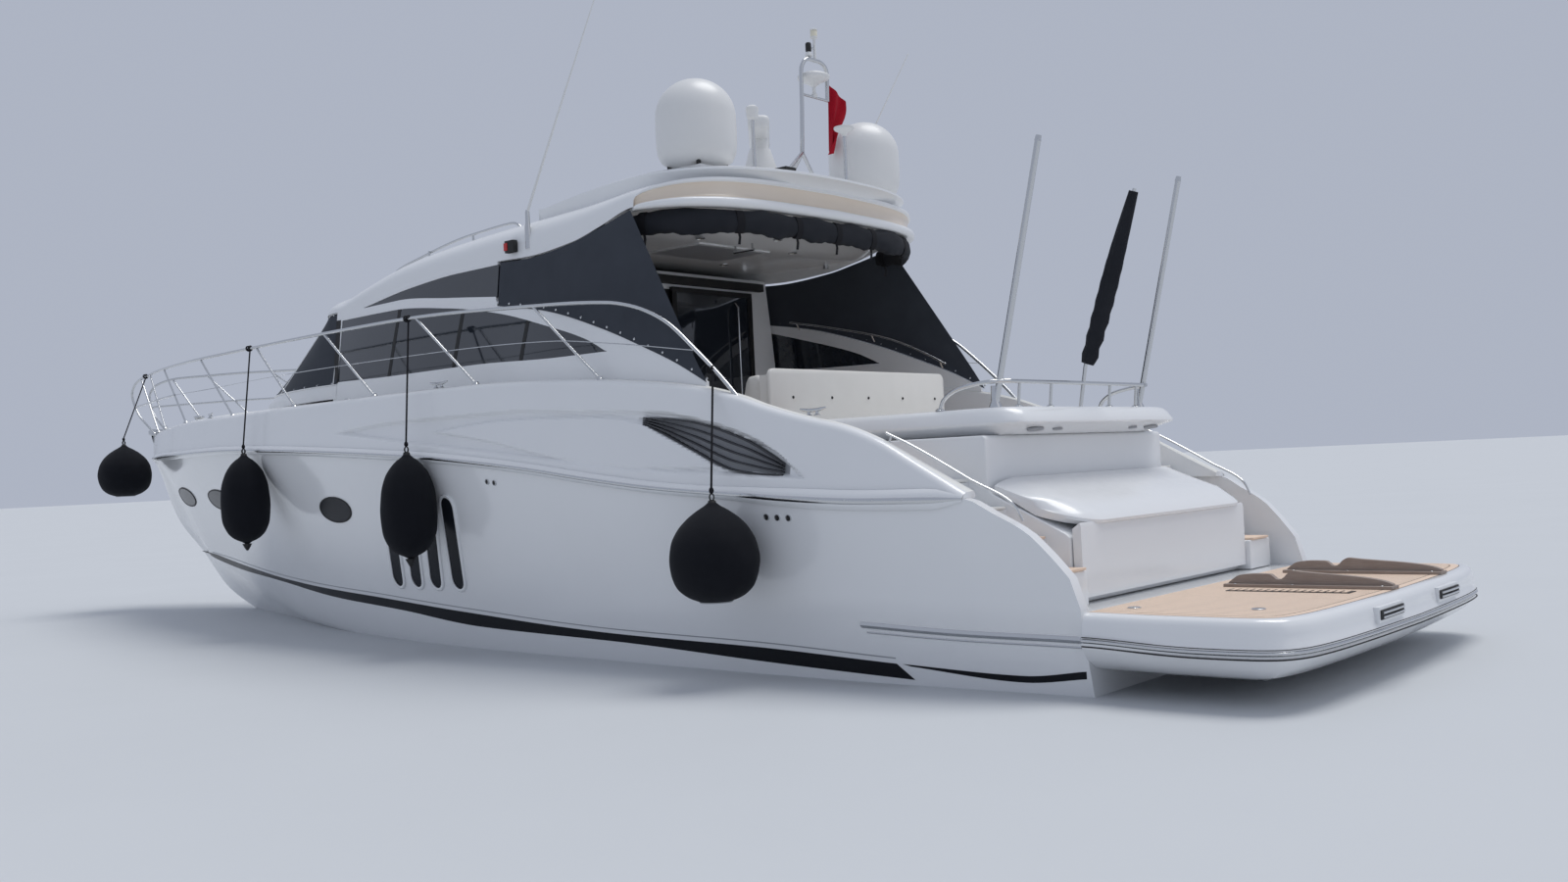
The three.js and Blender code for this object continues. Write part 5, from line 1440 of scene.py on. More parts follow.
# Half width of the garage, and its section: how far in from the transom, and height
GARAGE_Y = 1.15
GARAGE = ((0.0, 0.6), (1.515, 0.6), (1.515, 0.95), (0.0, 0.95))
SUN_Z = 1.92
PAD_Z = 1.72
SOLE_TOP = 1.42
DOOR_HINGE = (2.47, 1.385)


class YachtTransom(bpy.types.Operator):
    """The transom body with its stairs, and the garage door with its rounded top slab."""

    bl_idname = "yacht.transom"
    bl_label = "Transom and garage door"

    def execute(self, context):
        block = Shape()
        rest = [(1.865, 0.99), (1.9, 1.02), (2.46, 1.30), (2.5, 1.34), (2.5, 1.70), (2.52, 1.72),
                (4.95, 1.72), (4.95, SOLE_Z + 0.001), (3.42, SOLE_Z + 0.001), (3.42, 0.535), (1.865, 0.535)]
        rings = []
        # The garage's mouth opens between its two side walls and closes to a line in them
        for y, open_by in ((-BODY_Y, 0.0), (-GARAGE_Y, 0.0), (-GARAGE_Y, 1.0), (GARAGE_Y, 1.0),
                           (GARAGE_Y, 0.0), (BODY_Y, 0.0)):
            mouth = [(1.865 + into * open_by, z) for into, z in GARAGE]
            rings.append([(x, y, z) for x, z in mouth + rest])
        block.body(rings, "deck")
        for y in (1, -1):
            root = y * (BODY_Y - 0.01)
            for x, z in ((1.75, 0.775), (2.05, 0.985), (2.35, 1.195), (2.65, 1.395)):
                out = min(1.98, 1.84 + (x - 1.75) * 0.2)
                block.body([
                    [(x, root, h), (3.5, root, h), (3.5, y * 1.97, h), (x, y * out, h)] for h in (0.535, z)
                ], "deck")
            block.block((3.45, root, SOLE_Z + SEAM), (4.95, y * 1.89, 1.4), "deck")
        block.done("transom_shell", "deck_gelcoat", "transom_body", bevel=0.012)

        treads = Shape()
        for y in (1, -1):
            root = y * (BODY_Y + 0.03)
            for x, z in ((1.75, 0.78), (2.05, 0.99), (2.35, 1.2), (2.65, 1.4)):
                out = min(1.9, 1.78 + (x - 1.75) * 0.2)
                treads.body([
                    [(x - 0.012, root, h), (x + 0.27, root, h), (x + 0.27, y * (out + 0.02), h),
                     (x - 0.012, y * out, h)] for h in (z - 0.004, z + 0.014)
                ], "border" if z < 1.1 else "grip")
            treads.body([
                [(3.0, root, h), (4.93, root, h), (4.93, y * 1.82, h), (3.0, y * 1.86, h)] for h in (1.398, 1.412)
            ], "teak")
        treads.done("stair_treads", "teak", bevel=0.003)

        door = Shape()
        face = [(1.79, 0.578), (1.79, 1.06), (1.80, 1.09)]
        inner = [(1.855, 1.05), (1.852, 0.578)]
        door.panel(face + inner, -BODY_Y + 0.018, BODY_Y - 0.018, "deck")
        rings = []
        reach = BODY_Y - 0.018
        for y in [reach * math.sin(math.pi / 2 * t) for t in spaced(-1, 1, 80)]:
            corner = max(0.0, (abs(y) - (reach - 0.34)) / 0.34)
            back = 0.30 * (1 - math.sqrt(max(0.0, 1 - corner ** 2))) if y > 0 else 0.10 * corner ** 4
            thin = 1 - 0.5 * corner ** 6
            x0, z0 = 1.768 + back, 1.075 + back * 0.3
            # The port end droops like a pillow; the hinge edge keeps its height over the lugs
            droop = 0.05 * corner ** 2 if y > 0 else 0.0
            head = 1.412 - droop
            top = [(x0 + 0.028, z0 + 0.055 * thin), (x0 + 0.07, z0 + 0.087 * thin)]
            slope = [(x0 + (2.452 - x0) * t, z0 + 0.087 * thin + (head - z0 - 0.087 * thin) * t ** 0.94)
                     for t in (0.25, 0.45, 0.65, 0.85, 1.0)]
            ring = [(x0 + 0.004, z0), (x0, z0 + 0.02), *top, *slope, (2.452, 1.325), (x0 + 0.07, z0 - 0.018)]
            rings.append([(x, y, z) for x, z in ring])
        door.body(rings, "deck")
        door.tube([(DOOR_HINGE[0], y, DOOR_HINGE[1]) for y in (-0.3, 0.0, 0.3)], 0.014, "steel", 16)
        door.block((2.43, -0.3, 1.375), (2.466, 0.3, 1.397), "steel")
        door.done("garage_lid", "deck_gelcoat", "garage_door", body="garage_door", sharp=40)

        lugs = Shape()
        for y in (1, -1):
            knuckle = [(DOOR_HINGE[0], y * v, DOOR_HINGE[1]) for v in (0.3004, 0.325, 0.35)]
            lugs.tube(knuckle, 0.014, "steel", 16)
            near, far = sorted((y * 0.3004, y * 0.35))
            lugs.block((2.47, near, 1.375), (2.51, far, 1.395), "steel")
        lugs.done("door_lugs", "stainless")
        return {"FINISHED"}


class YachtSunpad(bpy.types.Operator):
    """The sunpad moulding with its undercut and vents, its rail, poles and furled cover."""

    bl_idname = "yacht.sunpad"
    bl_label = "Sunpad"

    def execute(self, context):
        pad = Shape()
        rings = []
        for inset, z in ((0.24, PAD_Z + SEAM), (0.20, 1.735), (0.05, 1.782), (0.008, 1.795), (0.0, 1.805), (0.004, 1.82),
                         (0.045, 1.88), (0.075, 1.905), (0.115, 1.918), (0.16, SUN_Z)):
            half = curve([(4.399, 1.35 - inset * 0.6), (2.75, 1.35 - inset * 0.6), (2.42 + inset * 0.4, 1.33 - inset * 0.6),
                          (2.28 + inset, 1.22 - inset * 0.4), (2.235 + inset, 0.9), (2.225 + inset, 0.0)], 50)
            rings.append([(x, y, z) for x, y in half] + [(x, -y, z) for x, y in reversed(half[:-1])])
        pad.body(rings, "deck")
        pad.done("sunpad_moulding", "deck_gelcoat", "sunpad_base", sharp=46)
        vents = Shape()
        for y, size in ((0.95, 1.0), (0.62, 0.6), (-0.95, 1.0), (-0.62, 0.6)):
            ring = []
            for k in range(20):
                a = math.tau * k / 20
                u, v = 0.035 * size * math.cos(a), 0.11 * size * math.sin(a)
                ring.append((2.36 + u, y + v, 1.757 - u * 0.3))
            vents.body([ring, [(x - 0.003, y, z - 0.012) for x, y, z in ring]], "grille")
        vents.done("sunpad_vents", "deck_gelcoat")
        grip = Shape()
        grip.plate([(2.6, -1.1), (4.3, -1.1), (4.3, 1.1), (2.6, 1.1)], SUN_Z - 0.002, SUN_Z + 0.003, "grip")
        grip.done("sunpad_grip", "deck_gelcoat", bevel=0.002)

        rail = Shape()
        foot = SUN_Z + SEAM
        hoop = [(2.98, 1.25, foot), (2.95, 1.25, 1.99), (2.82, 1.25, 2.07), (2.6, 1.24, 2.105), (2.5, 1.18, 2.11),
                (2.47, 1.05, 2.11), (2.46, 0.5, 2.11), (2.455, 0.0, 2.11)]
        whole = hoop + [(x, -y, z) for x, y, z in reversed(hoop[:-1])]
        rail.tube(curve(whole, 90), 0.016, "steel", 12)
        for y in (-0.95, -0.48, 0.48, 0.95):
            rail.tube([(2.49, y, foot), (2.47, y, 2.11)], 0.012, "steel", 12)
            rail.turned(2.49, y, [(0.035, foot), (0.035, foot + 0.006), (0.018, foot + 0.02)], "steel", 24)
        for y in (1.25, -1.25):
            rail.turned(2.98, y, [(0.035, foot), (0.035, foot + 0.006), (0.018, foot + 0.02)], "steel", 24)
        for y in (1.16, -1.16):
            rail.tube([(2.56, y, foot), (2.1, y, 3.8)], 0.023, "steel", 18)
            rail.tube([(2.105, y, 3.785), (2.094, y, 3.825)], [0.026, 0.02], "steel", 18)
            socket = [(0.05, foot), (0.05, foot + 0.008), (0.03, foot + 0.05), (0.027, foot + 0.16)]
            rail.turned(2.56, y, socket, "steel", 28)
            rail.tube([(2.51, y, 2.11), (2.46, y - 0.06 * (1 if y > 0 else -1), 2.11)], 0.019, "steel", 14)
        rail.tube([(2.49, 0, foot), (2.43, 0, 2.24), (1.94, 0, 3.56)], 0.015, "steel", 14)
        rail.done("sunpad_rails", "stainless", "sunpad_rail", sharp=50)

        furl = Shape()
        top, low = Vector((1.95, 0, 3.54)), Vector((2.42, 0, 2.26))
        rings = []
        for t in spaced(0, 1, 40):
            centre = low + (top - low) * t
            wide = 0.03 + 0.034 * math.sin(math.pi * (0.12 + 0.8 * t)) + 0.014 * (1 - t) ** 2 * math.sin(t * 30) ** 2
            flap = 1.0 + 0.5 * (1 - t)
            rings.append([
                centre + Vector((0.92 * math.cos(a), 0, 0.35 * math.cos(a))) * wide * (flap if math.cos(a) < 0 else 1)
                + Vector((0, math.sin(a), 0)) * (wide * 0.72 + 0.006 * math.sin(5 * a + 9 * t))
                for a in (math.tau * k / 28 for k in range(28))
            ])
        furl.body(rings, "canvas")
        made = furl.done("furled_cover", "canvas_black", sharp=60)
        return {"FINISHED"}


# Share of the height and of the radius: a long bag has straighter sides, a round one a fuller belly
BAG_LONG = Line((0.0, 0.05), (0.02, 0.12), (0.07, 0.5), (0.14, 0.76), (0.28, 0.96), (0.45, 1.0),
                (0.62, 0.96), (0.78, 0.8), (0.88, 0.58), (0.94, 0.36), (0.97, 0.2), (1.0, 0.1))
BAG_ROUND = Line((0.0, 0.3), (0.015, 0.42), (0.06, 0.64), (0.16, 0.86), (0.3, 0.97), (0.42, 1.0),
                 (0.58, 0.95), (0.72, 0.81), (0.84, 0.58), (0.92, 0.35), (0.97, 0.17), (1.0, 0.09))


def fender_body(shape, x, y, low, high, radius, long):
    """A covered fender: a full bag gathered to its neck, with a soft seam down each side."""
    form = BAG_LONG if long else BAG_ROUND
    rings = []
    for t in spaced(0, 1, 56):
        z = low + (high - low) * t
        gathers = 0.03 * max(0.0, 1 - min(t, 1 - t) / 0.16)
        ring = []
        for k in range(60):
            a = math.tau * k / 60
            pinch = 1 - 0.012 * abs(math.cos(a * 2)) ** 8 + 0.004 * math.sin(7 * a + z * 20)
            pinch -= gathers * (0.5 + 0.5 * math.sin(15 * a))
            r = radius * form(t) * pinch
            ring.append((x + r * math.cos(a), y + r * math.sin(a), z))
        rings.append(ring)
    shape.body(rings, "fender")


FENDERS = (
    # name, x, y, low, high, radius, lanyard top, and whether it is a long one
    ("fender_bow", 16.72, 0.82, 1.58, 2.28, 0.342, (17.0, 0.33, 3.27), False),
    ("fender_forward", 11.29, 2.11, 1.0, 1.96, 0.25, (11.72, 1.74, 3.15), True),
    ("fender_middle", 7.99, 2.39, 0.88, 1.84, 0.25, (8.35, 2.05, 3.12), True),
    ("fender_quarter", 4.17, 2.49, 0.61, 1.33, 0.33, (4.5, 2.055, 2.334), False),
)


class YachtFenders(bpy.types.Operator):
    """Four covered fenders on their lanyards."""

    bl_idname = "yacht.fenders"
    bl_label = "Fenders"

    def execute(self, context):
        for name, x, y, low, high, radius, top, long in FENDERS:
            bag = Shape()
            fender_body(bag, x, y, low, high, radius, long)
            if long:
                tip = [(0.05, low + 0.012), (0.034, low - 0.02), (0.014, low - 0.055), (0.008, low - 0.06)]
                bag.turned(x, y, tip, "rubber", 20)
            else:
                bag.turned(x, y, [(radius * 0.38, low + 0.004), (radius * 0.36, low - 0.004)], "grille", 40)
            bag.turned(x, y, [(0.034, high - 0.015), (0.028, high + 0.012), (0.012, high + 0.02)], "rubber", 20)
            for turn in (0.0, math.pi / 2):
                ring = []
                for a in (math.tau * k / 20 for k in range(21)):
                    out = 0.022 * math.sin(a)
                    ring.append((x + out * math.cos(turn), y + out * math.sin(turn), high + 0.038 - 0.026 * math.cos(a)))
                bag.tube(ring, 0.005, "rubber", 8)
            knot = (x, y, high + 0.1)
            bag.turned(x, y, [(0.006, high + 0.06), (0.017, high + 0.075), (0.019, high + 0.09), (0.012, high + 0.108)],
                       "rope", 14)
            bag.tube([(x, y, high + 0.06), knot, blended(knot, top, 0.5), top], 0.0085, "rope", 8)
            for turns, lift in ((0.0, -0.011), (0.5, 0.011)):
                wrap = []
                for a in (math.tau * (turns + k / 16) for k in range(17)):
                    wrap.append((top[0] + lift + 0.004 * a, top[1] + 0.026 * math.cos(a), top[2] + 0.026 * math.sin(a)))
                bag.tube(wrap, 0.0085, "rope", 8)
            made = bag.done(name + "_bag", "fender_cover", name, sharp=60)
        return {"FINISHED"}


RAIL_TOP = [(4.22, 2.05, 2.06), (4.40, 2.052, 2.25), (4.69, 2.06, 2.52), (4.99, 2.06, 2.76),
            (5.3, 2.07, 2.9), (5.62, 2.07, 2.97),
            (6.7, 2.07, 3.05), (8.35, 2.05, 3.12), (9.92, 1.97, 3.13), (11.72, 1.74, 3.15), (13.74, 1.32, 3.2),
            (15.1, 0.93, 3.24), (16.4, 0.52, 3.27), (17.2, 0.27, 3.27), (17.7, 0.16, 3.2), (17.86, 0.13, 3.05),
            (17.78, 0.12, 2.85), (17.3, 0.1, 2.47)]
STANCHIONS = ((5.75, 6.55), (7.37, 8.24), (8.99, 9.9), (10.62, 11.55), (12.37, 13.5), (14.35, 15.6),
              (15.73, 16.7), (16.6, 17.35))
WIRE = [(4.7, 2.06, 2.5), (5.64, 2.07, 2.64), (6.34, 2.07, 2.72), (7.46, 2.06, 2.76), (9.75, 1.97, 2.78),
        (11.06, 1.82, 2.79), (12.61, 1.56, 2.8), (14.95, 0.97, 2.86)]
MIDDLE = [(14.95, 0.97, 2.86), (16.5, 0.49, 2.88), (17.4, 0.22, 2.88), (17.79, 0.12, 2.88)]


class YachtRails(bpy.types.Operator):
    """The guard rails with leaning stanchions, wires and pulpit."""

    bl_idname = "yacht.rails"
    bl_label = "Guard rails"

    def execute(self, context):
        along = RAIL_TOP[:15]
        rail_out = Line(*[(p[0], p[1]) for p in along])
        rail_up = Line(*[(p[0], p[2]) for p in along])
        for side in (1, -1):
            rail = Shape()

            def flip(p):
                return (p[0], side * p[1], p[2])

            rail.tube([flip(p) for p in curve(RAIL_TOP, 220)], 0.0165, "steel", 12)
            for foot, head in STANCHIONS:
                base = (foot, min(rail_out(foot) - 0.01, deck_y(foot) - 0.03), DECK_Z(foot) - 0.004)
                rail.tube([flip(base), flip((head, rail_out(head), rail_up(head)))], 0.0125, "steel", 12)
                collar = [(0.036, base[2]), (0.036, base[2] + 0.006), (0.02, base[2] + 0.018),
                          (0.016, base[2] + 0.03)]
                rail.turned(base[0], side * base[1], collar, "steel", 20)
            rail.tube([flip(p) for p in curve(WIRE, 80)], 0.004, "steel", 6)
            rail.tube([flip(p) for p in curve(MIDDLE, 40)], 0.0135, "steel", 12)
            ends = (RAIL_TOP[0], RAIL_TOP[-1])
            for x, y, z in ends:
                rail.turned(x, side * y, [(0.036, z - 0.02), (0.036, z + 0.006), (0.02, z + 0.02)], "steel", 20)
            name = "guard_rail_" + side_name(side)
            rail.done("rails_" + side_name(side), "stainless", name, sharp=50)
        wing = Shape()
        top = [(2.94, 2.0, 1.765), (2.75, 1.99, 1.675), (2.3, 1.97, 1.425), (1.98, 1.93, 1.235), (1.93, 1.92, 1.135)]
        for side in (1, -1):
            wing.tube([(x, side * y, z) for x, y, z in curve(top, 30)], 0.009, "steel", 10)
            wing.tube([(2.9, side * 1.995, 1.75), (2.93, side * 2.0, 1.66)], 0.008, "steel", 10)
        wing.done("quarter_handrails", "stainless")
        roof = Shape()
        path = [(9.73, 1.28, 3.62), (9.66, 1.28, 3.74), (9.14, 1.30, 3.86), (8.25, 1.34, 3.965), (7.60, 1.38, 3.98),
                (7.48, 1.38, 3.93), (7.46, 1.38, 3.86)]
        for side in (1, -1):
            roof.tube([(x, side * y, z) for x, y, z in curve(path, 60)], 0.0125, "steel", 12)
            for x, z in ((8.96, 3.78), (8.25, 3.84)):
                roof.tube([(x, side * 1.32, z - 0.08), (x, side * 1.33, z + 0.12)], 0.011, "steel", 12)
        roof.done("roof_rails", "stainless")
        return {"FINISHED"}


WING_EDGE = [(7.13, 1.45), (6.6, 1.56), (6.0, 1.61), (5.55, 1.60), (5.2, 1.50), (4.95, 1.27),
             (4.8, 0.95), (4.7, 0.5), (4.67, 0.0)]
WING_Z = 4.09


class YachtRadar(bpy.types.Operator):
    """The radar wing over the brim with the scanner's pedestal, and the two satellite domes."""

    bl_idname = "yacht.radar"
    bl_label = "Radar wing and domes"

    def execute(self, context):
        wing = Shape()
        edge = curve(WING_EDGE, 90)
        long = len(edge) - 1
        rows = [[] for _ in range(7)]
        for i, (x, y) in enumerate(edge):
            s = i / long
            top = 4.03 + 0.06 * soft_step(s, 0.0, 0.45)
            stands = top - roof_point(x, min(1.0, y / SHOULDER_Y(x)))[2] + 0.012
            deep = max(0.035, stands) * (1 - soft_step(s, 0.4, 0.6)) + 0.10 * soft_step(s, 0.4, 0.6)
            cove = 0.02 + 0.11 * soft_step(s, 0.35, 0.6)
            inward = (Vector((6.3, 0.0)) - Vector((x, y))).normalized()
            sides = ((0.35, 0.0), (0.03, 0.0), (0.0, 0.012), (0.0, 0.03), (cove * 0.7, 0.03 + (deep - 0.03) * 0.4),
                     (cove, deep), (cove + 0.25, deep))
            for row, (inset, down) in zip(rows, sides):
                row.append((x + inward.x * inset, max(0.0, y + inward.y * inset), top - down))
        wing.grid(rows, "deck")
        wing.grid([rows[0], [(x + (6.3 - x) * 0.5, y * 0.45, WING_Z + 0.005) for x, y, z in rows[0]],
                   [(max(x, 5.1) * 0.5 + 6.25 * 0.5, 0.0, WING_Z + 0.006) for x, y, z in rows[0]]], "deck")
        fore = [[(7.13, 1.45, 4.03), (6.75, 1.2, 4.05), (6.5, 0.6, 4.07), (6.4, 0.0, 4.08)],
                [(7.13, 1.45, 3.9), (6.8, 1.2, 3.93), (6.6, 0.6, 3.96), (6.5, 0.0, 3.97)]]
        wing.grid([curve(row, 20) for row in fore], "deck")
        wing.grid([curve(fore[0], 20), [(x * 0.6 + 6.2 * 0.4, y * 0.7, WING_Z) for x, y, z in curve(fore[0], 20)]], "deck")
        wing.both_sides()
        pedestal = [(0.2, 4.05), (0.195, 4.12), (0.175, 4.2), (0.15, 4.32), (0.12, 4.42), (0.1, 4.49)]
        wing.turned(5.58, 0.1, pedestal, "dome", 48)
        wing.done("radar_wing_shell", "deck_gelcoat", "radar_wing", sharp=40)

        for side in (1, -1):
            dome = Shape()
            rows = [(0.10, WING_Z + SEAM), (0.2, WING_Z + SEAM), (0.205, 4.115), (0.19, 4.13), (0.25, 4.155), (0.305, 4.19),
                    (0.335, 4.25), (0.345, 4.32), (0.347, 4.44), (0.345, 4.57)]
            rows += [(0.345 * math.cos(a), 4.57 + 0.328 * math.sin(a)) for a in spaced(0.12, 1.5, 18)]
            dome.turned(5.35, side * 1.2, rows + [(0.004, 4.899)], "dome", 72)
            dome.block((5.13, side * 1.2 - 0.2, WING_Z + SEAM), (5.57, side * 1.2 + 0.2, 4.118), "dome")
            for k in range(4):
                a = math.pi / 4 + k * math.pi / 2
                x, y = 5.35 + 0.24 * math.cos(a), side * 1.2 + 0.24 * math.sin(a)
                dome.turned(x, y, [(0.02, 4.10), (0.02, 4.165), (0.01, 4.17)], "rubber", 12)
            name = "satellite_dome_" + side_name(side)
            dome.done("dome_" + side_name(side), "dome_white", name, sharp=45)
        return {"FINISHED"}


BULK_X = 7.09
DOOR_TOP = 3.42


class YachtCabin(bpy.types.Operator):
    """The glazed saloon bulkhead, its sliding door, and the headliner's lights and grab rail."""

    bl_idname = "yacht.cabin"
    bl_label = "Saloon bulkhead and door"

    def execute(self, context):
        wall = Shape()
        levels = spaced(SOLE_Z + SEAM, 2.4, 4) + spaced(2.5, 3.575, 10)
        for side, inner in ((1, 1.5), (-1, 1.42)):
            rings = []
            for z in levels:
                outer = 1.77 if z <= 2.4 else house_y(7.12, z) - 0.062
                rings.append([
                    (BULK_X, side * inner, z), (BULK_X + 0.06, side * inner, z), (BULK_X + 0.06, side * outer, z),
                    (BULK_X, side * outer, z)
                ])
            wall.body(rings, "deck")
        wall.block((BULK_X, -1.42, SOLE_Z + SEAM), (BULK_X + 0.06, 1.5, 1.44), "deck")
        wall.block((BULK_X, -1.42, 3.40), (BULK_X + 0.06, 1.5, 3.575), "deck")
        wall.block((BULK_X, -0.29, 1.44), (BULK_X + 0.06, -0.21, 3.40), "deck")
        wall.done("saloon_wall", "deck_gelcoat", "saloon_bulkhead", bevel=0.004)

        pane = Shape()
        pane.block((BULK_X + 0.012, -0.21, 1.44), (BULK_X + 0.024, 1.5, 3.40), "glass")
        for low, high in (((-0.21, 1.44), (1.5, 1.49)), ((-0.21, 3.35), (1.5, 3.40)), ((-0.21, 1.49), (-0.16, 3.35)),
                          ((1.45, 1.49), (1.5, 3.35))):
            pane.block((BULK_X + 0.006, *low), (BULK_X + 0.03, *high), "rubber")
        pane.block((BULK_X - 0.07, -1.56, 3.45), (BULK_X - 0.002, 1.5, 3.53), "rubber")
        for y in (-1.40, 1.0):
            pane.block((BULK_X - 0.012, y, 1.42 + SEAM), (BULK_X - 0.002, y + 0.02, 1.428), "rubber")
        pane.done("saloon_window", "tinted_glass", bevel=0.002)

        door = Shape()
        aft, fore = BULK_X - 0.05, BULK_X - 0.01
        door.block((aft + 0.012, -1.33, 1.5), (aft + 0.022, -0.22, DOOR_TOP - 0.05), "glass")
        for low, high in (((-1.38, 1.44), (-0.17, 1.5)), ((-1.38, DOOR_TOP - 0.05), (-0.17, DOOR_TOP)),
                          ((-1.38, 1.5), (-1.32, DOOR_TOP - 0.05)), ((-0.23, 1.5), (-0.17, DOOR_TOP - 0.05))):
            door.block((aft, *low), (fore, *high), "rubber")
        pull = [(aft - 0.002, -1.1, 2.0), (aft - 0.045, -1.1, 2.05), (aft - 0.045, -1.1, 3.25), (aft - 0.002, -1.1, 3.3)]
        door.tube(pull, 0.013, "steel", 14)
        door.done("patio_door", "tinted_glass", "sliding_door", body="sliding_door", bevel=0.002)

        liner = Shape()
        for x, y in ((5.85, 0.67), (5.94, -0.75), (6.85, 0.75), (6.85, -0.75), (5.5, 0.0)):
            rows = [(0.045, CEILING_Z + 0.004), (0.045, CEILING_Z - 0.006), (0.034, CEILING_Z - 0.009),
                    (0.032, CEILING_Z - 0.004)]
            liner.turned(x, y, rows, "steel", 24)
            liner.turned(x, y, [(0.032, CEILING_Z - 0.003), (0.03, CEILING_Z - 0.006)], "lamp", 24)
        liner.plate([(6.02, -0.5), (6.72, -0.5), (6.72, 0.5), (6.02, 0.5)], CEILING_Z - 0.012, CEILING_Z + 0.01, "deck")
        liner.plate([(6.06, -0.46), (6.68, -0.46), (6.68, 0.46), (6.06, 0.46)], CEILING_Z - 0.015, CEILING_Z, "grille")
        for side in (1, -1):
            rail = [(6.83, 3.11), (6.3, 3.0), (5.63, 2.83), (5.2, 2.64), (4.97, 2.51)]
            path = [(x, side * (house_y(x, z) - 0.075), z) for x, z in curve(rail, 24)]
            liner.tube(path, 0.012, "steel", 10)
            for k in (1, 12, 22):
                x, y, z = path[k]
                liner.tube([(x, y, z), (x, side * (house_y(x, z - 0.07) - 0.03), z - 0.07)], 0.009, "steel", 8)
        liner.tube([(5.75, 0.05, CEILING_Z - 0.06), (6.0, 0.05, CEILING_Z - 0.06)], 0.013, "steel", 12)
        for x in (5.77, 5.98):
            liner.tube([(x, 0.05, CEILING_Z - 0.06), (x, 0.05, CEILING_Z)], 0.01, "steel", 10)
        liner.done("headliner_fittings", "stainless", sharp=50)
        return {"FINISHED"}


SEAT_SIDES = (-0.98, 1.5)
CUSHIONS = 3
CUSHION_CAP = 0.022


def cushion_mesh(rings, name, voxel):
    """A stuffed cushion: the rings' form, remeshed and blown up as cloth, no point moved past the cap."""
    pad = Shape()
    pad.body(rings, "vinyl")
    mesh = bpy.data.meshes.new(name)
    mesh.from_pydata([(x - AMIDSHIPS, y, z) for x, y, z in pad.points], [], pad.faces)
    obj = bpy.data.objects.new(name, mesh)
    bpy.context.scene.collection.objects.link(obj)
    work = bmesh.new()
    work.from_mesh(mesh)
    bmesh.ops.recalc_face_normals(work, faces=work.faces)
    work.to_mesh(mesh)
    work.free()
    grain = obj.modifiers.new("grain", "REMESH")
    grain.mode = "VOXEL"
    grain.voxel_size = voxel
    graph = bpy.context.evaluated_depsgraph_get()
    fine = bpy.data.meshes.new_from_object(obj.evaluated_get(graph))
    obj.modifiers.clear()
    obj.data = fine
    before = np.empty(len(fine.vertices) * 3)
    fine.vertices.foreach_get("co", before)
    air = obj.modifiers.new("air", "CLOTH")
    air.settings.use_pressure = True
    air.settings.uniform_pressure_force = 4.0
    air.settings.effector_weights.gravity = 0.0
    for tick in range(1, 21):
        bpy.context.scene.frame_set(tick)
    graph = bpy.context.evaluated_depsgraph_get()
    blown = bpy.data.meshes.new_from_object(obj.evaluated_get(graph))
    obj.modifiers.clear()
    bpy.context.scene.frame_set(1)
    after = np.empty(len(blown.vertices) * 3)
    blown.vertices.foreach_get("co", after)
    moved = (after - before).reshape(-1, 3)
    length = np.linalg.norm(moved, axis=1)[:, None]
    moved *= np.minimum(1.0, CUSHION_CAP / np.maximum(length, 1e-9))
    fine.vertices.foreach_set("co", before + moved.ravel())
    bpy.data.objects.remove(obj)
    return fine


def lay_cushion(fine, name, shift):
    """Lays a copy of a cushion's mesh, moved along y and smoothed."""
    mesh = fine.copy()
    mesh.transform(Matrix.Translation((0.0, shift, 0.0)))
    mesh.materials.clear()
    mesh.materials.append(finishes["vinyl"])
    obj = bpy.data.objects.new(name, mesh)
    bpy.context.scene.collection.objects.link(obj)
    soft = obj.modifiers.new("soft", "SUBSURF")
    soft.levels = soft.render_levels = 1
    made = settled(obj, sharp=80)


def pillow_rings(outline, low, high, shrink):
    """Rings across y for an outline in x and z, drawn in at both ends."""
    middle = np.mean(np.array(outline), axis=0)
    rings = []
    for y, share in ((low, shrink), (low + 0.012, 0.94), (low + 0.03, 1.0), (high - 0.03, 1.0), (high - 0.012, 0.94),
                     (high, shrink)):
        rings.append([(p[0], y, p[1]) for p in (blended(middle, q, share) for q in outline)])
    return rings


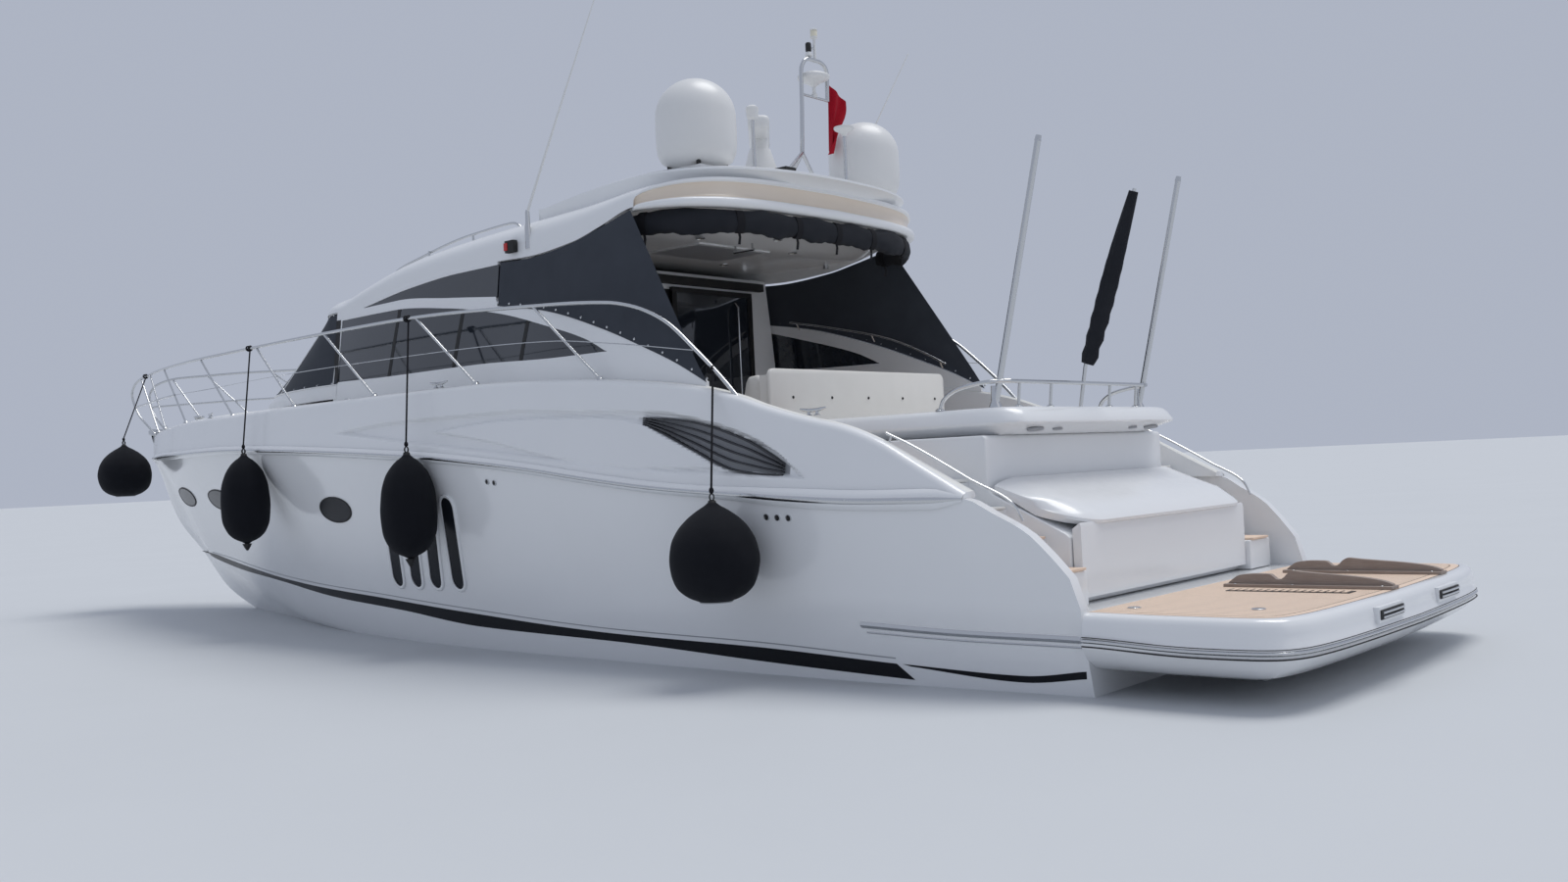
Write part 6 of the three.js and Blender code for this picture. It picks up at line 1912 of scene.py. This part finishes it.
class YachtSeat(bpy.types.Operator):
    """The cockpit seat: its moulded base, the flat aft board with snaps, and stuffed cushions."""

    bl_idname = "yacht.seat"
    bl_label = "Cockpit seat"

    def execute(self, context):
        low, high = SEAT_SIDES
        base = Shape()
        base.block((4.952, low, SOLE_TOP + SEAM), (5.40, high, 1.70), "deck")
        rings = []
        for x, inset in ((4.402, 0.006), (4.408, 0.0), (4.436, 0.0), (4.442, 0.006)):
            ring = []
            for y, z, start in ((low, PAD_Z + SEAM, 2), (high, PAD_Z + SEAM, 3), (high, 2.35, 0), (low, 2.35, 1)):
                radius = 0.06 if z > 2 else 0.01
                cy = y + (radius if y == low else -radius)
                cz = z + (radius if z < 2 else -radius)
                for a in spaced(start * math.pi / 2, (start + 1) * math.pi / 2, 8):
                    ring.append((x, cy + (radius - inset) * math.cos(a), cz + (radius - inset) * math.sin(a)))
            rings.append(ring)
        base.body(rings, "vinyl")
        base.block((4.442, low + 0.01, PAD_Z + SEAM), (4.52, high - 0.01, 2.3), "vinyl")
        base.done("seat_moulding", "seat_vinyl", "cockpit_seat", sharp=50)
        snaps = [((4.400, y, 2.12), (-1, 0, 0)) for y in (-0.82, -0.31, 0.2, 0.71, 1.22)]
        studs("seat_snaps", snaps, 0.013, 0.008, "rubber")

        wide = (high - low - 0.04) / CUSHIONS
        start = low + 0.02
        seat = [(4.99, 1.715), (5.37, 1.715), (5.375, 1.79), (5.36, 1.825), (4.99, 1.825)]
        back = [(4.545, 1.87), (4.86, 1.87), (4.84, 1.92), (4.72, 2.26), (4.69, 2.31), (4.60, 2.32), (4.545, 2.28)]
        for name, outline in (("seat_cushion", seat), ("back_cushion", back)):
            rings = pillow_rings(outline, start + 0.022, start + wide - 0.022, 0.86)
            fine = cushion_mesh(rings, name, 0.012)
            for k in range(CUSHIONS):
                lay_cushion(fine, name + "_" + str(k + 1), wide * k)
        return {"FINISHED"}


def cleat(shape, x, y, z, turn=0.0, long=0.13):
    """A two-legged horn cleat."""
    ahead = Vector((math.cos(turn), math.sin(turn), 0))
    centre = Vector((x, y, z))
    bar = [(-long, 0.055), (-long * 0.75, 0.048), (-long * 0.3, 0.04), (long * 0.3, 0.04), (long * 0.75, 0.048),
           (long, 0.055)]
    path = [centre + ahead * d + Vector((0, 0, up)) for d, up in bar]
    shape.tube(path, [0.006, 0.011, 0.014, 0.014, 0.011, 0.006], "steel", 12)
    for d in (-long * 0.32, long * 0.32):
        foot = centre + ahead * d
        shape.turned(foot.x, foot.y, [(0.026, z), (0.026, z + 0.005), (0.012, z + 0.012), (0.011, z + 0.042)], "steel", 18)


def deck_at(x, y):
    """Height of the foredeck."""
    inner = max(0.02, deck_y(x) - 0.06)
    return DECK_Z(x) + DECK_CROWN(x) * (1 - min(1.0, abs(y) / inner) ** 2.4)


class YachtForedeck(bpy.types.Operator):
    """The foredeck hatch, windlass, bow roller, cleats, fillers and side lights."""

    bl_idname = "yacht.foredeck"
    bl_label = "Foredeck and deck fittings"

    def execute(self, context):
        lid = Shape()
        for half, low, high, finish in ((0.3, 2.5806, 2.598, "steel"), (0.268, 2.596, 2.6045, "hatch")):
            lid.body([[
                (14.6 + x, y, z) for x, y in rounded_square(half - inset, 0.06)
            ] for inset, z in ((0.004, low), (0.0, low + 0.003), (0.0, high - 0.003), (0.004, high))], finish)
        for y in (0.2, -0.2):
            lid.tube([(14.892, y - 0.03, 2.59), (14.892, y + 0.03, 2.59)], 0.008, "steel", 12)
        lid.tube([(14.33, -0.04, 2.607), (14.33, 0.04, 2.607)], 0.006, "rubber", 10)
        lid.done("hatch_lid", "hatch_acrylic", "foredeck_hatch", body="foredeck_hatch", sharp=40)

        gear = Shape()
        z = deck_at(16.25, 0.0)
        gear.block((16.05, -0.11, z - 0.03), (16.42, 0.11, z + 0.012), "steel")
        gear.turned(16.18, 0.0, [(0.085, z), (0.085, z + 0.04), (0.07, z + 0.06), (0.05, z + 0.075), (0.05, z + 0.11),
                                 (0.07, z + 0.13), (0.07, z + 0.15), (0.02, z + 0.16)], "steel", 32)
        gear.tube([(16.33, -0.06, z + 0.045), (16.33, 0.06, z + 0.045)], 0.045, "steel", 24)
        for y in (0.05, -0.05):
            cheek = [(17.2, 2.45), (17.42, 2.44), (17.56, 2.46), (17.56, 2.52), (17.4, 2.54), (17.2, 2.49)]
            gear.panel(cheek, y - 0.004, y + 0.004, "steel")
        gear.tube([(17.48, -0.045, 2.49), (17.48, 0.045, 2.49)], 0.03, "rubber", 20)
        for side in (1, -1):
            cleat(gear, 13.16, side * (deck_y(13.16) - 0.07), DECK_Z(13.16), -0.32 * side)
            cleat(gear, 16.1, side * (deck_y(16.1) - 0.09), DECK_Z(16.1) + 0.004, -0.6 * side, 0.11)
            cleat(gear, 7.93, side * (deck_y(7.93) - 0.07), DECK_Z(7.93) + 0.004)
            cleat(gear, 3.6, side * 1.98, DECK_Z(3.6) + 0.006, 0.0, 0.12)
            gear.turned(9.6, side * (deck_y(9.6) - 0.14), [
                (0.038, DECK_Z(9.6) + 0.002), (0.038, DECK_Z(9.6) + 0.01), (0.03, DECK_Z(9.6) + 0.013)], "steel", 24)
            y = side * (house_y(7.17, 3.60) + 0.01)
            gear.block((7.11, min(y, y + side * 0.05), 3.61), (7.23, max(y, y + side * 0.05), 3.72), "rubber")
            lens = "port_light" if side > 0 else "starboard_light"
            near, far = sorted((y + side * 0.02, y + side * 0.056))
            gear.block((7.19, near, 3.63), (7.238, far, 3.70), lens)
        links = [((x, 0.0, deck_at(x, 0.0) + 0.012 + 0.03 * (x < 16.42)), (0.5, (-1) ** k, 0.6))
                 for k, x in enumerate(spaced(16.4, 17.46, 36))]
        gear.done("deck_fittings", "stainless", bevel=0.002, sharp=45)
        studs("anchor_chain", links, 0.017, 0.008, "steel")
        screws = []
        for x in spaced(2.7, 17.1, 62):
            screws += [((x, side * (rail_y(x) + 0.037), RAIL_Z(x)), (0, side, 0)) for side in (1, -1)]
        studs("strake_screws", screws, 0.006, 0.002, "steel")
        return {"FINISHED"}


def rounded_square(half, radius, count=6):
    """Corners of a square with round corners, about its middle."""
    made = []
    for k, (x, y) in enumerate(((1, 1), (-1, 1), (-1, -1), (1, -1))):
        for a in spaced(k * math.pi / 2, (k + 1) * math.pi / 2, count):
            made.append(((half - radius) * x + radius * math.cos(a), (half - radius) * y + radius * math.sin(a)))
    return made


RADAR_AXIS = (5.58, 0.1)
SCANNER_HALF = 0.46
SCANNER_AIM = math.atan2(9.98, -8.45)
MAST_X = 5.44


def whip_path(x, y, lean, top):
    """A leaning whip aerial, with a slight bend near its tip."""
    path = [(x, y, 3.62), (x, y, 3.95)]
    for t in spaced(0.1, 1.0, 14):
        z = 3.95 + (top - 3.95) * t
        path.append((x - lean * (z - 3.95) - 0.02 * t * t, y, z))
    return path


class YachtMast(bpy.types.Operator):
    """The radar scanner, the mast loop with dish, horn, lamp and flag, and the whip aerials."""

    bl_idname = "yacht.mast"
    bl_label = "Scanner, mast and aerials"

    def execute(self, context):
        x0, y0 = RADAR_AXIS
        scanner = Shape()
        scanner.turned(x0, y0, [(0.086, 4.4906), (0.086, 4.505), (0.078, 4.52), (0.074, 4.60)], "dome", 40)
        ahead = Vector((math.cos(SCANNER_AIM), math.sin(SCANNER_AIM), 0))
        across = Vector((-ahead.y, ahead.x, 0))
        rings = []
        for d in (-1.0, -0.985, -0.95, -0.6, 0.0, 0.6, 0.95, 0.985, 1.0):
            full = {1.0: 0.55, 0.985: 0.8}.get(abs(d), 1.0)
            ring = []
            for k in range(28):
                a = math.tau * k / 28
                u = math.copysign(abs(math.cos(a)) ** 0.6, math.cos(a)) * 0.098 * full
                v = math.copysign(abs(math.sin(a)) ** 0.6, math.sin(a)) * 0.063 * full
                ring.append(Vector((x0, y0, 4.645)) + ahead * (d * SCANNER_HALF) + across * u + Vector((0, 0, v)))
            rings.append(ring)
        scanner.body(rings, "dome")
        scanner.done("scanner_bar", "dome_white", "radar_scanner", body="radar_scanner", sharp=50)

        mast = Shape()
        foot = WING_Z + SEAM
        loop = [(5.48, -0.4, 4.5), (5.45, -0.395, 5.0), (MAST_X, -0.395, 5.3), (5.43, -0.43, 5.385), (5.43, -0.5, 5.42),
                (5.43, -0.66, 5.42), (5.43, -0.75, 5.385), (MAST_X, -0.79, 5.3), (5.45, -0.79, 5.06)]
        mast.tube(curve(loop, 60), 0.02, "steel", 14)
        for x, y in ((5.18, 0.34), (5.3, 0.22), (5.5, -0.75), (5.9, -0.5)):
            mast.tube([(x, y, foot), (5.48, -0.4, 4.52)], 0.018, "steel", 14)
            mast.turned(x, y, [(0.045, foot), (0.045, foot + 0.008), (0.024, foot + 0.02)], "steel", 24)
        mast.tube([(5.45, -0.385, 5.07), (5.45, -0.8, 5.07)], 0.014, "steel", 12)
        mast.turned(5.45, -0.59, [(0.03, 5.07), (0.03, 5.10), (0.018, 5.11), (0.018, 5.17), (0.06, 5.20), (0.14, 5.235),
                                  (0.155, 5.25), (0.155, 5.272), (0.14, 5.285), (0.05, 5.318), (0.01, 5.32)], "dome", 48)
        mast.turned(5.43, -0.6, [(0.015, 5.41), (0.013, 5.63), (0.036, 5.635), (0.036, 5.65)], "dome", 20)
        mast.turned(5.43, -0.6, [(0.034, 5.65), (0.034, 5.70), (0.028, 5.71)], "lamp", 20)
        mast.turned(5.43, -0.6, [(0.036, 5.71), (0.036, 5.72), (0.01, 5.732)], "dome", 20)
        mast.turned(5.44, -0.52, [(0.034, 5.45), (0.034, 5.47), (0.022, 5.49)], "dome", 20)
        mast.turned(5.44, -0.52, [(0.022, 5.49), (0.028, 5.50), (0.028, 5.57), (0.02, 5.58)], "rubber", 20)
        mast.tube([(5.44, -0.52, 5.42), (5.44, -0.52, 5.46)], 0.012, "steel", 10)
        mast.tube([(5.44, -0.52, 5.535), (5.43, -0.6, 5.535)], 0.01, "steel", 10)
        mast.block((5.0, 0.3, foot), (5.13, 0.44, 4.2), "rubber")
        mast.done("mast_loop", "stainless", "mast_frame", sharp=50)

        flag = Shape()
        rows = []
        for r in spaced(0, 1, 30):
            row = []
            for c in spaced(0, 1, 22):
                gather = 1 - 0.55 * soft_step(r, 0.1, 0.75)
                y = -0.81 - 0.2 * c * gather - 0.02 * math.sin(8 * c + 3 * r) * r
                drop = 5.25 - 0.66 * r - 0.16 * c + 0.10 * c * r
                x = 5.45 + 0.035 * math.sin(11 * c + 2.2 * r) * (0.25 + 0.75 * r) - 0.05 * c
                row.append((x, y + 0.16 * r * r * c, drop))
            rows.append(row)
        flag.grid(rows, "red")
        made = flag.done("plain_flag", "canvas_black", sharp=80)
        ties = Shape()
        ties.tube([(5.45, -0.8, 5.07), (5.452, -0.812, 5.06), (5.45, -0.812, 5.25)], 0.003, "rope", 6)
        ties.done("flag_halyard", "canvas_black")

        small = Shape()
        for x, y in ((5.19, 0.64), (5.05, -0.5)):
            small.turned(x, y, [(0.04, WING_Z + SEAM), (0.04, 4.1), (0.016, 4.115), (0.016, 4.62)], "steel", 20)
        small.turned(5.19, 0.64, [(0.02, 4.61), (0.044, 4.62), (0.052, 4.64), (0.052, 4.675), (0.057, 4.69), (0.055, 4.72),
                                  (0.03, 4.738), (0.004, 4.742)], "dome", 28)
        small.turned(5.05, -0.5, [(0.02, 4.61), (0.03, 4.635), (0.085, 4.665), (0.096, 4.68), (0.094, 4.695),
                                  (0.05, 4.708), (0.004, 4.712)], "dome", 36)
        small.done("small_aerials", "dome_white", sharp=50)
        for name, place in (("port", (6.96, 1.73, 0.58, 5.7)), ("starboard", (6.3, -1.74, 0.68, 5.64))):
            whip = Shape()
            path = whip_path(*place)
            whip.tube(path, [0.013] * 2 + spaced(0.012, 0.0045, len(path) - 2), "dome", 12)
            x, y = place[:2]
            whip.turned(x, y, [(0.03, 3.62), (0.03, 3.82), (0.022, 3.85), (0.02, 3.95), (0.014, 3.97)], "steel", 20)
            whip.done("whip_" + name, "dome_white", "whip_aerial_" + name, sharp=50)
        return {"FINISHED"}


SHAFT_TILT = math.atan(0.15)
# A propeller blade over its radius: chord, pitch angle and half thickness
BLADE = Line((0.05, 0.13), (0.12, 0.20), (0.2, 0.245), (0.27, 0.23), (0.31, 0.17), (0.33, 0.09),
             (0.336, 0.03))
BLADE_PITCH = Line((0.05, 0.98), (0.2, 0.66), (0.336, 0.44))
BLADE_THICK = Line((0.05, 0.019), (0.2, 0.011), (0.336, 0.003))


class YachtGear(bpy.types.Operator):
    """Two four-bladed propellers with their shafts, and two rudders with their stocks."""

    bl_idname = "yacht.gear"
    bl_label = "Propellers and rudders"

    def execute(self, context):
        lean, lift = math.cos(SHAFT_TILT), math.sin(SHAFT_TILT)
        for side in (1, -1):
            name = side_name(side)

            def along(a, b, c):
                return (2.62 + a * lean - c * lift, side * (0.86 + b), -0.84 + a * lift + c * lean)

            screw = Shape()
            hub = [(-0.15, 0.004), (-0.145, 0.018), (-0.12, 0.042), (-0.085, 0.06), (0.0, 0.069), (0.08, 0.066), (0.095, 0.045),
                   (0.1, 0.032), (2.9, 0.032)]
            screw.body([[
                along(a, r * math.cos(t), r * math.sin(t)) for t in (math.tau * k / 32 for k in range(32))
            ] for a, r in hub], "bronze")
            for k in range(4):
                phi = k * math.pi / 2 + 0.4
                rings = []
                for r in spaced(0.05, 0.336, 16):
                    chord, beta, thick = BLADE(r), BLADE_PITCH(r), BLADE_THICK(r)
                    ring = []
                    for a in (math.tau * j / 20 for j in range(20)):
                        u, v = chord / 2 * math.cos(a), thick * math.sin(a)
                        axial = u * math.sin(beta) + v * math.cos(beta)
                        swing = u * math.cos(beta) - v * math.sin(beta)
                        ring.append(along(axial, r * math.cos(phi) - swing * math.sin(phi),
                                          r * math.sin(phi) + swing * math.cos(phi)))
                    rings.append(ring)
                screw.body(rings, "bronze")
            screw.done("screw_" + name, "bronze", "propeller_" + name, body="propeller_" + name, sharp=50)

            blade = Shape()
            rings = []
            for x0, x1, half, z in ((1.74, 2.06, 0.006, -1.205), (1.725, 2.075, 0.018, -1.195), (1.70, 2.09, 0.024, -0.9),
                                    (1.665, 2.115, 0.029, -0.56), (1.68, 2.10, 0.02, -0.545)):
                ring = []
                for a in (math.tau * j / 32 for j in range(32)):
                    t = (1 + math.cos(a)) / 2
                    wide = half * 2.2 * math.sqrt(1 - (2 * t - 1) ** 2) * (0.35 + 0.65 * t)
                    ring.append((x0 + (x1 - x0) * t, side * 0.86 + math.copysign(wide, math.sin(a)) * 0.62, z))
                rings.append(ring)
            blade.body(rings, "bronze")
            blade.turned(1.95, side * 0.86, [(0.034, -0.56), (0.034, -0.16)], "bronze", 32)
            blade.done("rudder_blade_" + name, "bronze", "rudder_" + name, body="rudder_" + name, sharp=50)
        return {"FINISHED"}


# Camera, floor and light

CAMERA_AT = (-11.86588, 10.08444, 1.56949)
CAMERA_RIGHT = (-0.76687934, -0.64006024, -0.04710587)
CAMERA_UP = (-0.04744089, -0.01666225, 0.99873507)
CAMERA_AHEAD = (0.6400355, -0.76814403, 0.01758709)
LENS_MM = 32.666
SENSOR_MM = 36.0


class YachtStage(bpy.types.Operator):
    """Makes the camera, the pale floor at the waterline and the soft light."""

    bl_idname = "yacht.stage"
    bl_label = "Set the stage"

    def execute(self, context):
        data = bpy.data.cameras.new("camera")
        data.lens = LENS_MM
        data.sensor_width = SENSOR_MM
        data.clip_start = 0.1
        data.clip_end = 2000.0
        camera = bpy.data.objects.new("camera", data)
        back = -Vector(CAMERA_AHEAD)
        turn = Matrix((CAMERA_RIGHT, CAMERA_UP, back)).transposed()
        camera.matrix_world = Matrix.Translation(CAMERA_AT) @ turn.to_4x4()
        context.scene.collection.objects.link(camera)
        context.scene.camera = camera

        half = context.scene.yacht_sizes.floor
        mesh = bpy.data.meshes.new("floor")
        mesh.from_pydata(
            [(-half, -half, 0), (half, -half, 0), (half, half, 0), (-half, half, 0)], [], [(0, 1, 2, 3)]
        )
        floor = bpy.data.objects.new("floor", mesh)
        pale = Finish("Pale floor", (0.62, 0.64, 0.66), Specular_IOR_Level=0.2)
        pale.between(pale.noise(0.4, 3.0), (0.59, 0.61, 0.63))
        pale.feed("Roughness", pale.noise(2.0) * 0.1 + 0.55)
        mesh.materials.append(pale.material)
        context.scene.collection.objects.link(floor)

        world = bpy.data.worlds.new("sky")
        world.use_nodes = True
        sky = world.node_tree.nodes["Background"]
        sky.inputs["Color"].default_value = (0.57, 0.62, 0.74, 1)
        sky.inputs["Strength"].default_value = 0.74
        context.scene.world = world
        context.scene.view_settings.view_transform = "Standard"

        for name, power, angle, colour, aim in (
            ("high", 1.6, 35, (1.0, 0.99, 0.96), (0.1, 0.35, -1.0)),
            ("aft", 0.1, 40, (1.0, 0.93, 0.85), (0.9, 0.1, -0.5)),
        ):
            lamp = bpy.data.lights.new(name, "SUN")
            lamp.energy = power
            lamp.angle = math.radians(angle)
            lamp.color = colour
            light = bpy.data.objects.new(name, lamp)
            light.rotation_mode = "QUATERNION"
            light.rotation_quaternion = Vector(aim).to_track_quat("-Z", "Y")
            light.location = (0, 0, 12)
            context.scene.collection.objects.link(light)
        return {"FINISHED"}


class YachtPanel(bpy.types.Panel):
    """Lists the pieces in the order they are made."""

    bl_idname = "VIEW3D_PT_yacht"
    bl_label = "Motor Yacht"
    bl_space_type = "VIEW_3D"
    bl_region_type = "UI"
    bl_category = "Yacht"

    def draw(self, context):
        for step in STEPS:
            self.layout.operator(step.bl_idname)


STEPS = (
    YachtPaint, YachtStage, YachtHull, YachtDeck, YachtStrake, YachtHouse, YachtGlass, YachtHardtop, YachtCanvas,
    YachtPlatform, YachtTransom, YachtSunpad, YachtFenders, YachtRails, YachtRadar, YachtCabin, YachtSeat,
    YachtForedeck, YachtMast, YachtGear,
)
CLASSES = (YachtColours, YachtSizes, *STEPS, YachtPanel)


def register():
    for made in CLASSES:
        bpy.utils.register_class(made)
    bpy.types.Scene.yacht_colours = bpy.props.PointerProperty(type=YachtColours)
    bpy.types.Scene.yacht_sizes = bpy.props.PointerProperty(type=YachtSizes)


def unregister():
    del bpy.types.Scene.yacht_sizes
    del bpy.types.Scene.yacht_colours
    for made in reversed(CLASSES):
        bpy.utils.unregister_class(made)


def main():
    register()
    for step in STEPS:
        group, name = step.bl_idname.split(".")
        getattr(getattr(bpy.ops, group), name)()


if __name__ == "__main__":
    main()
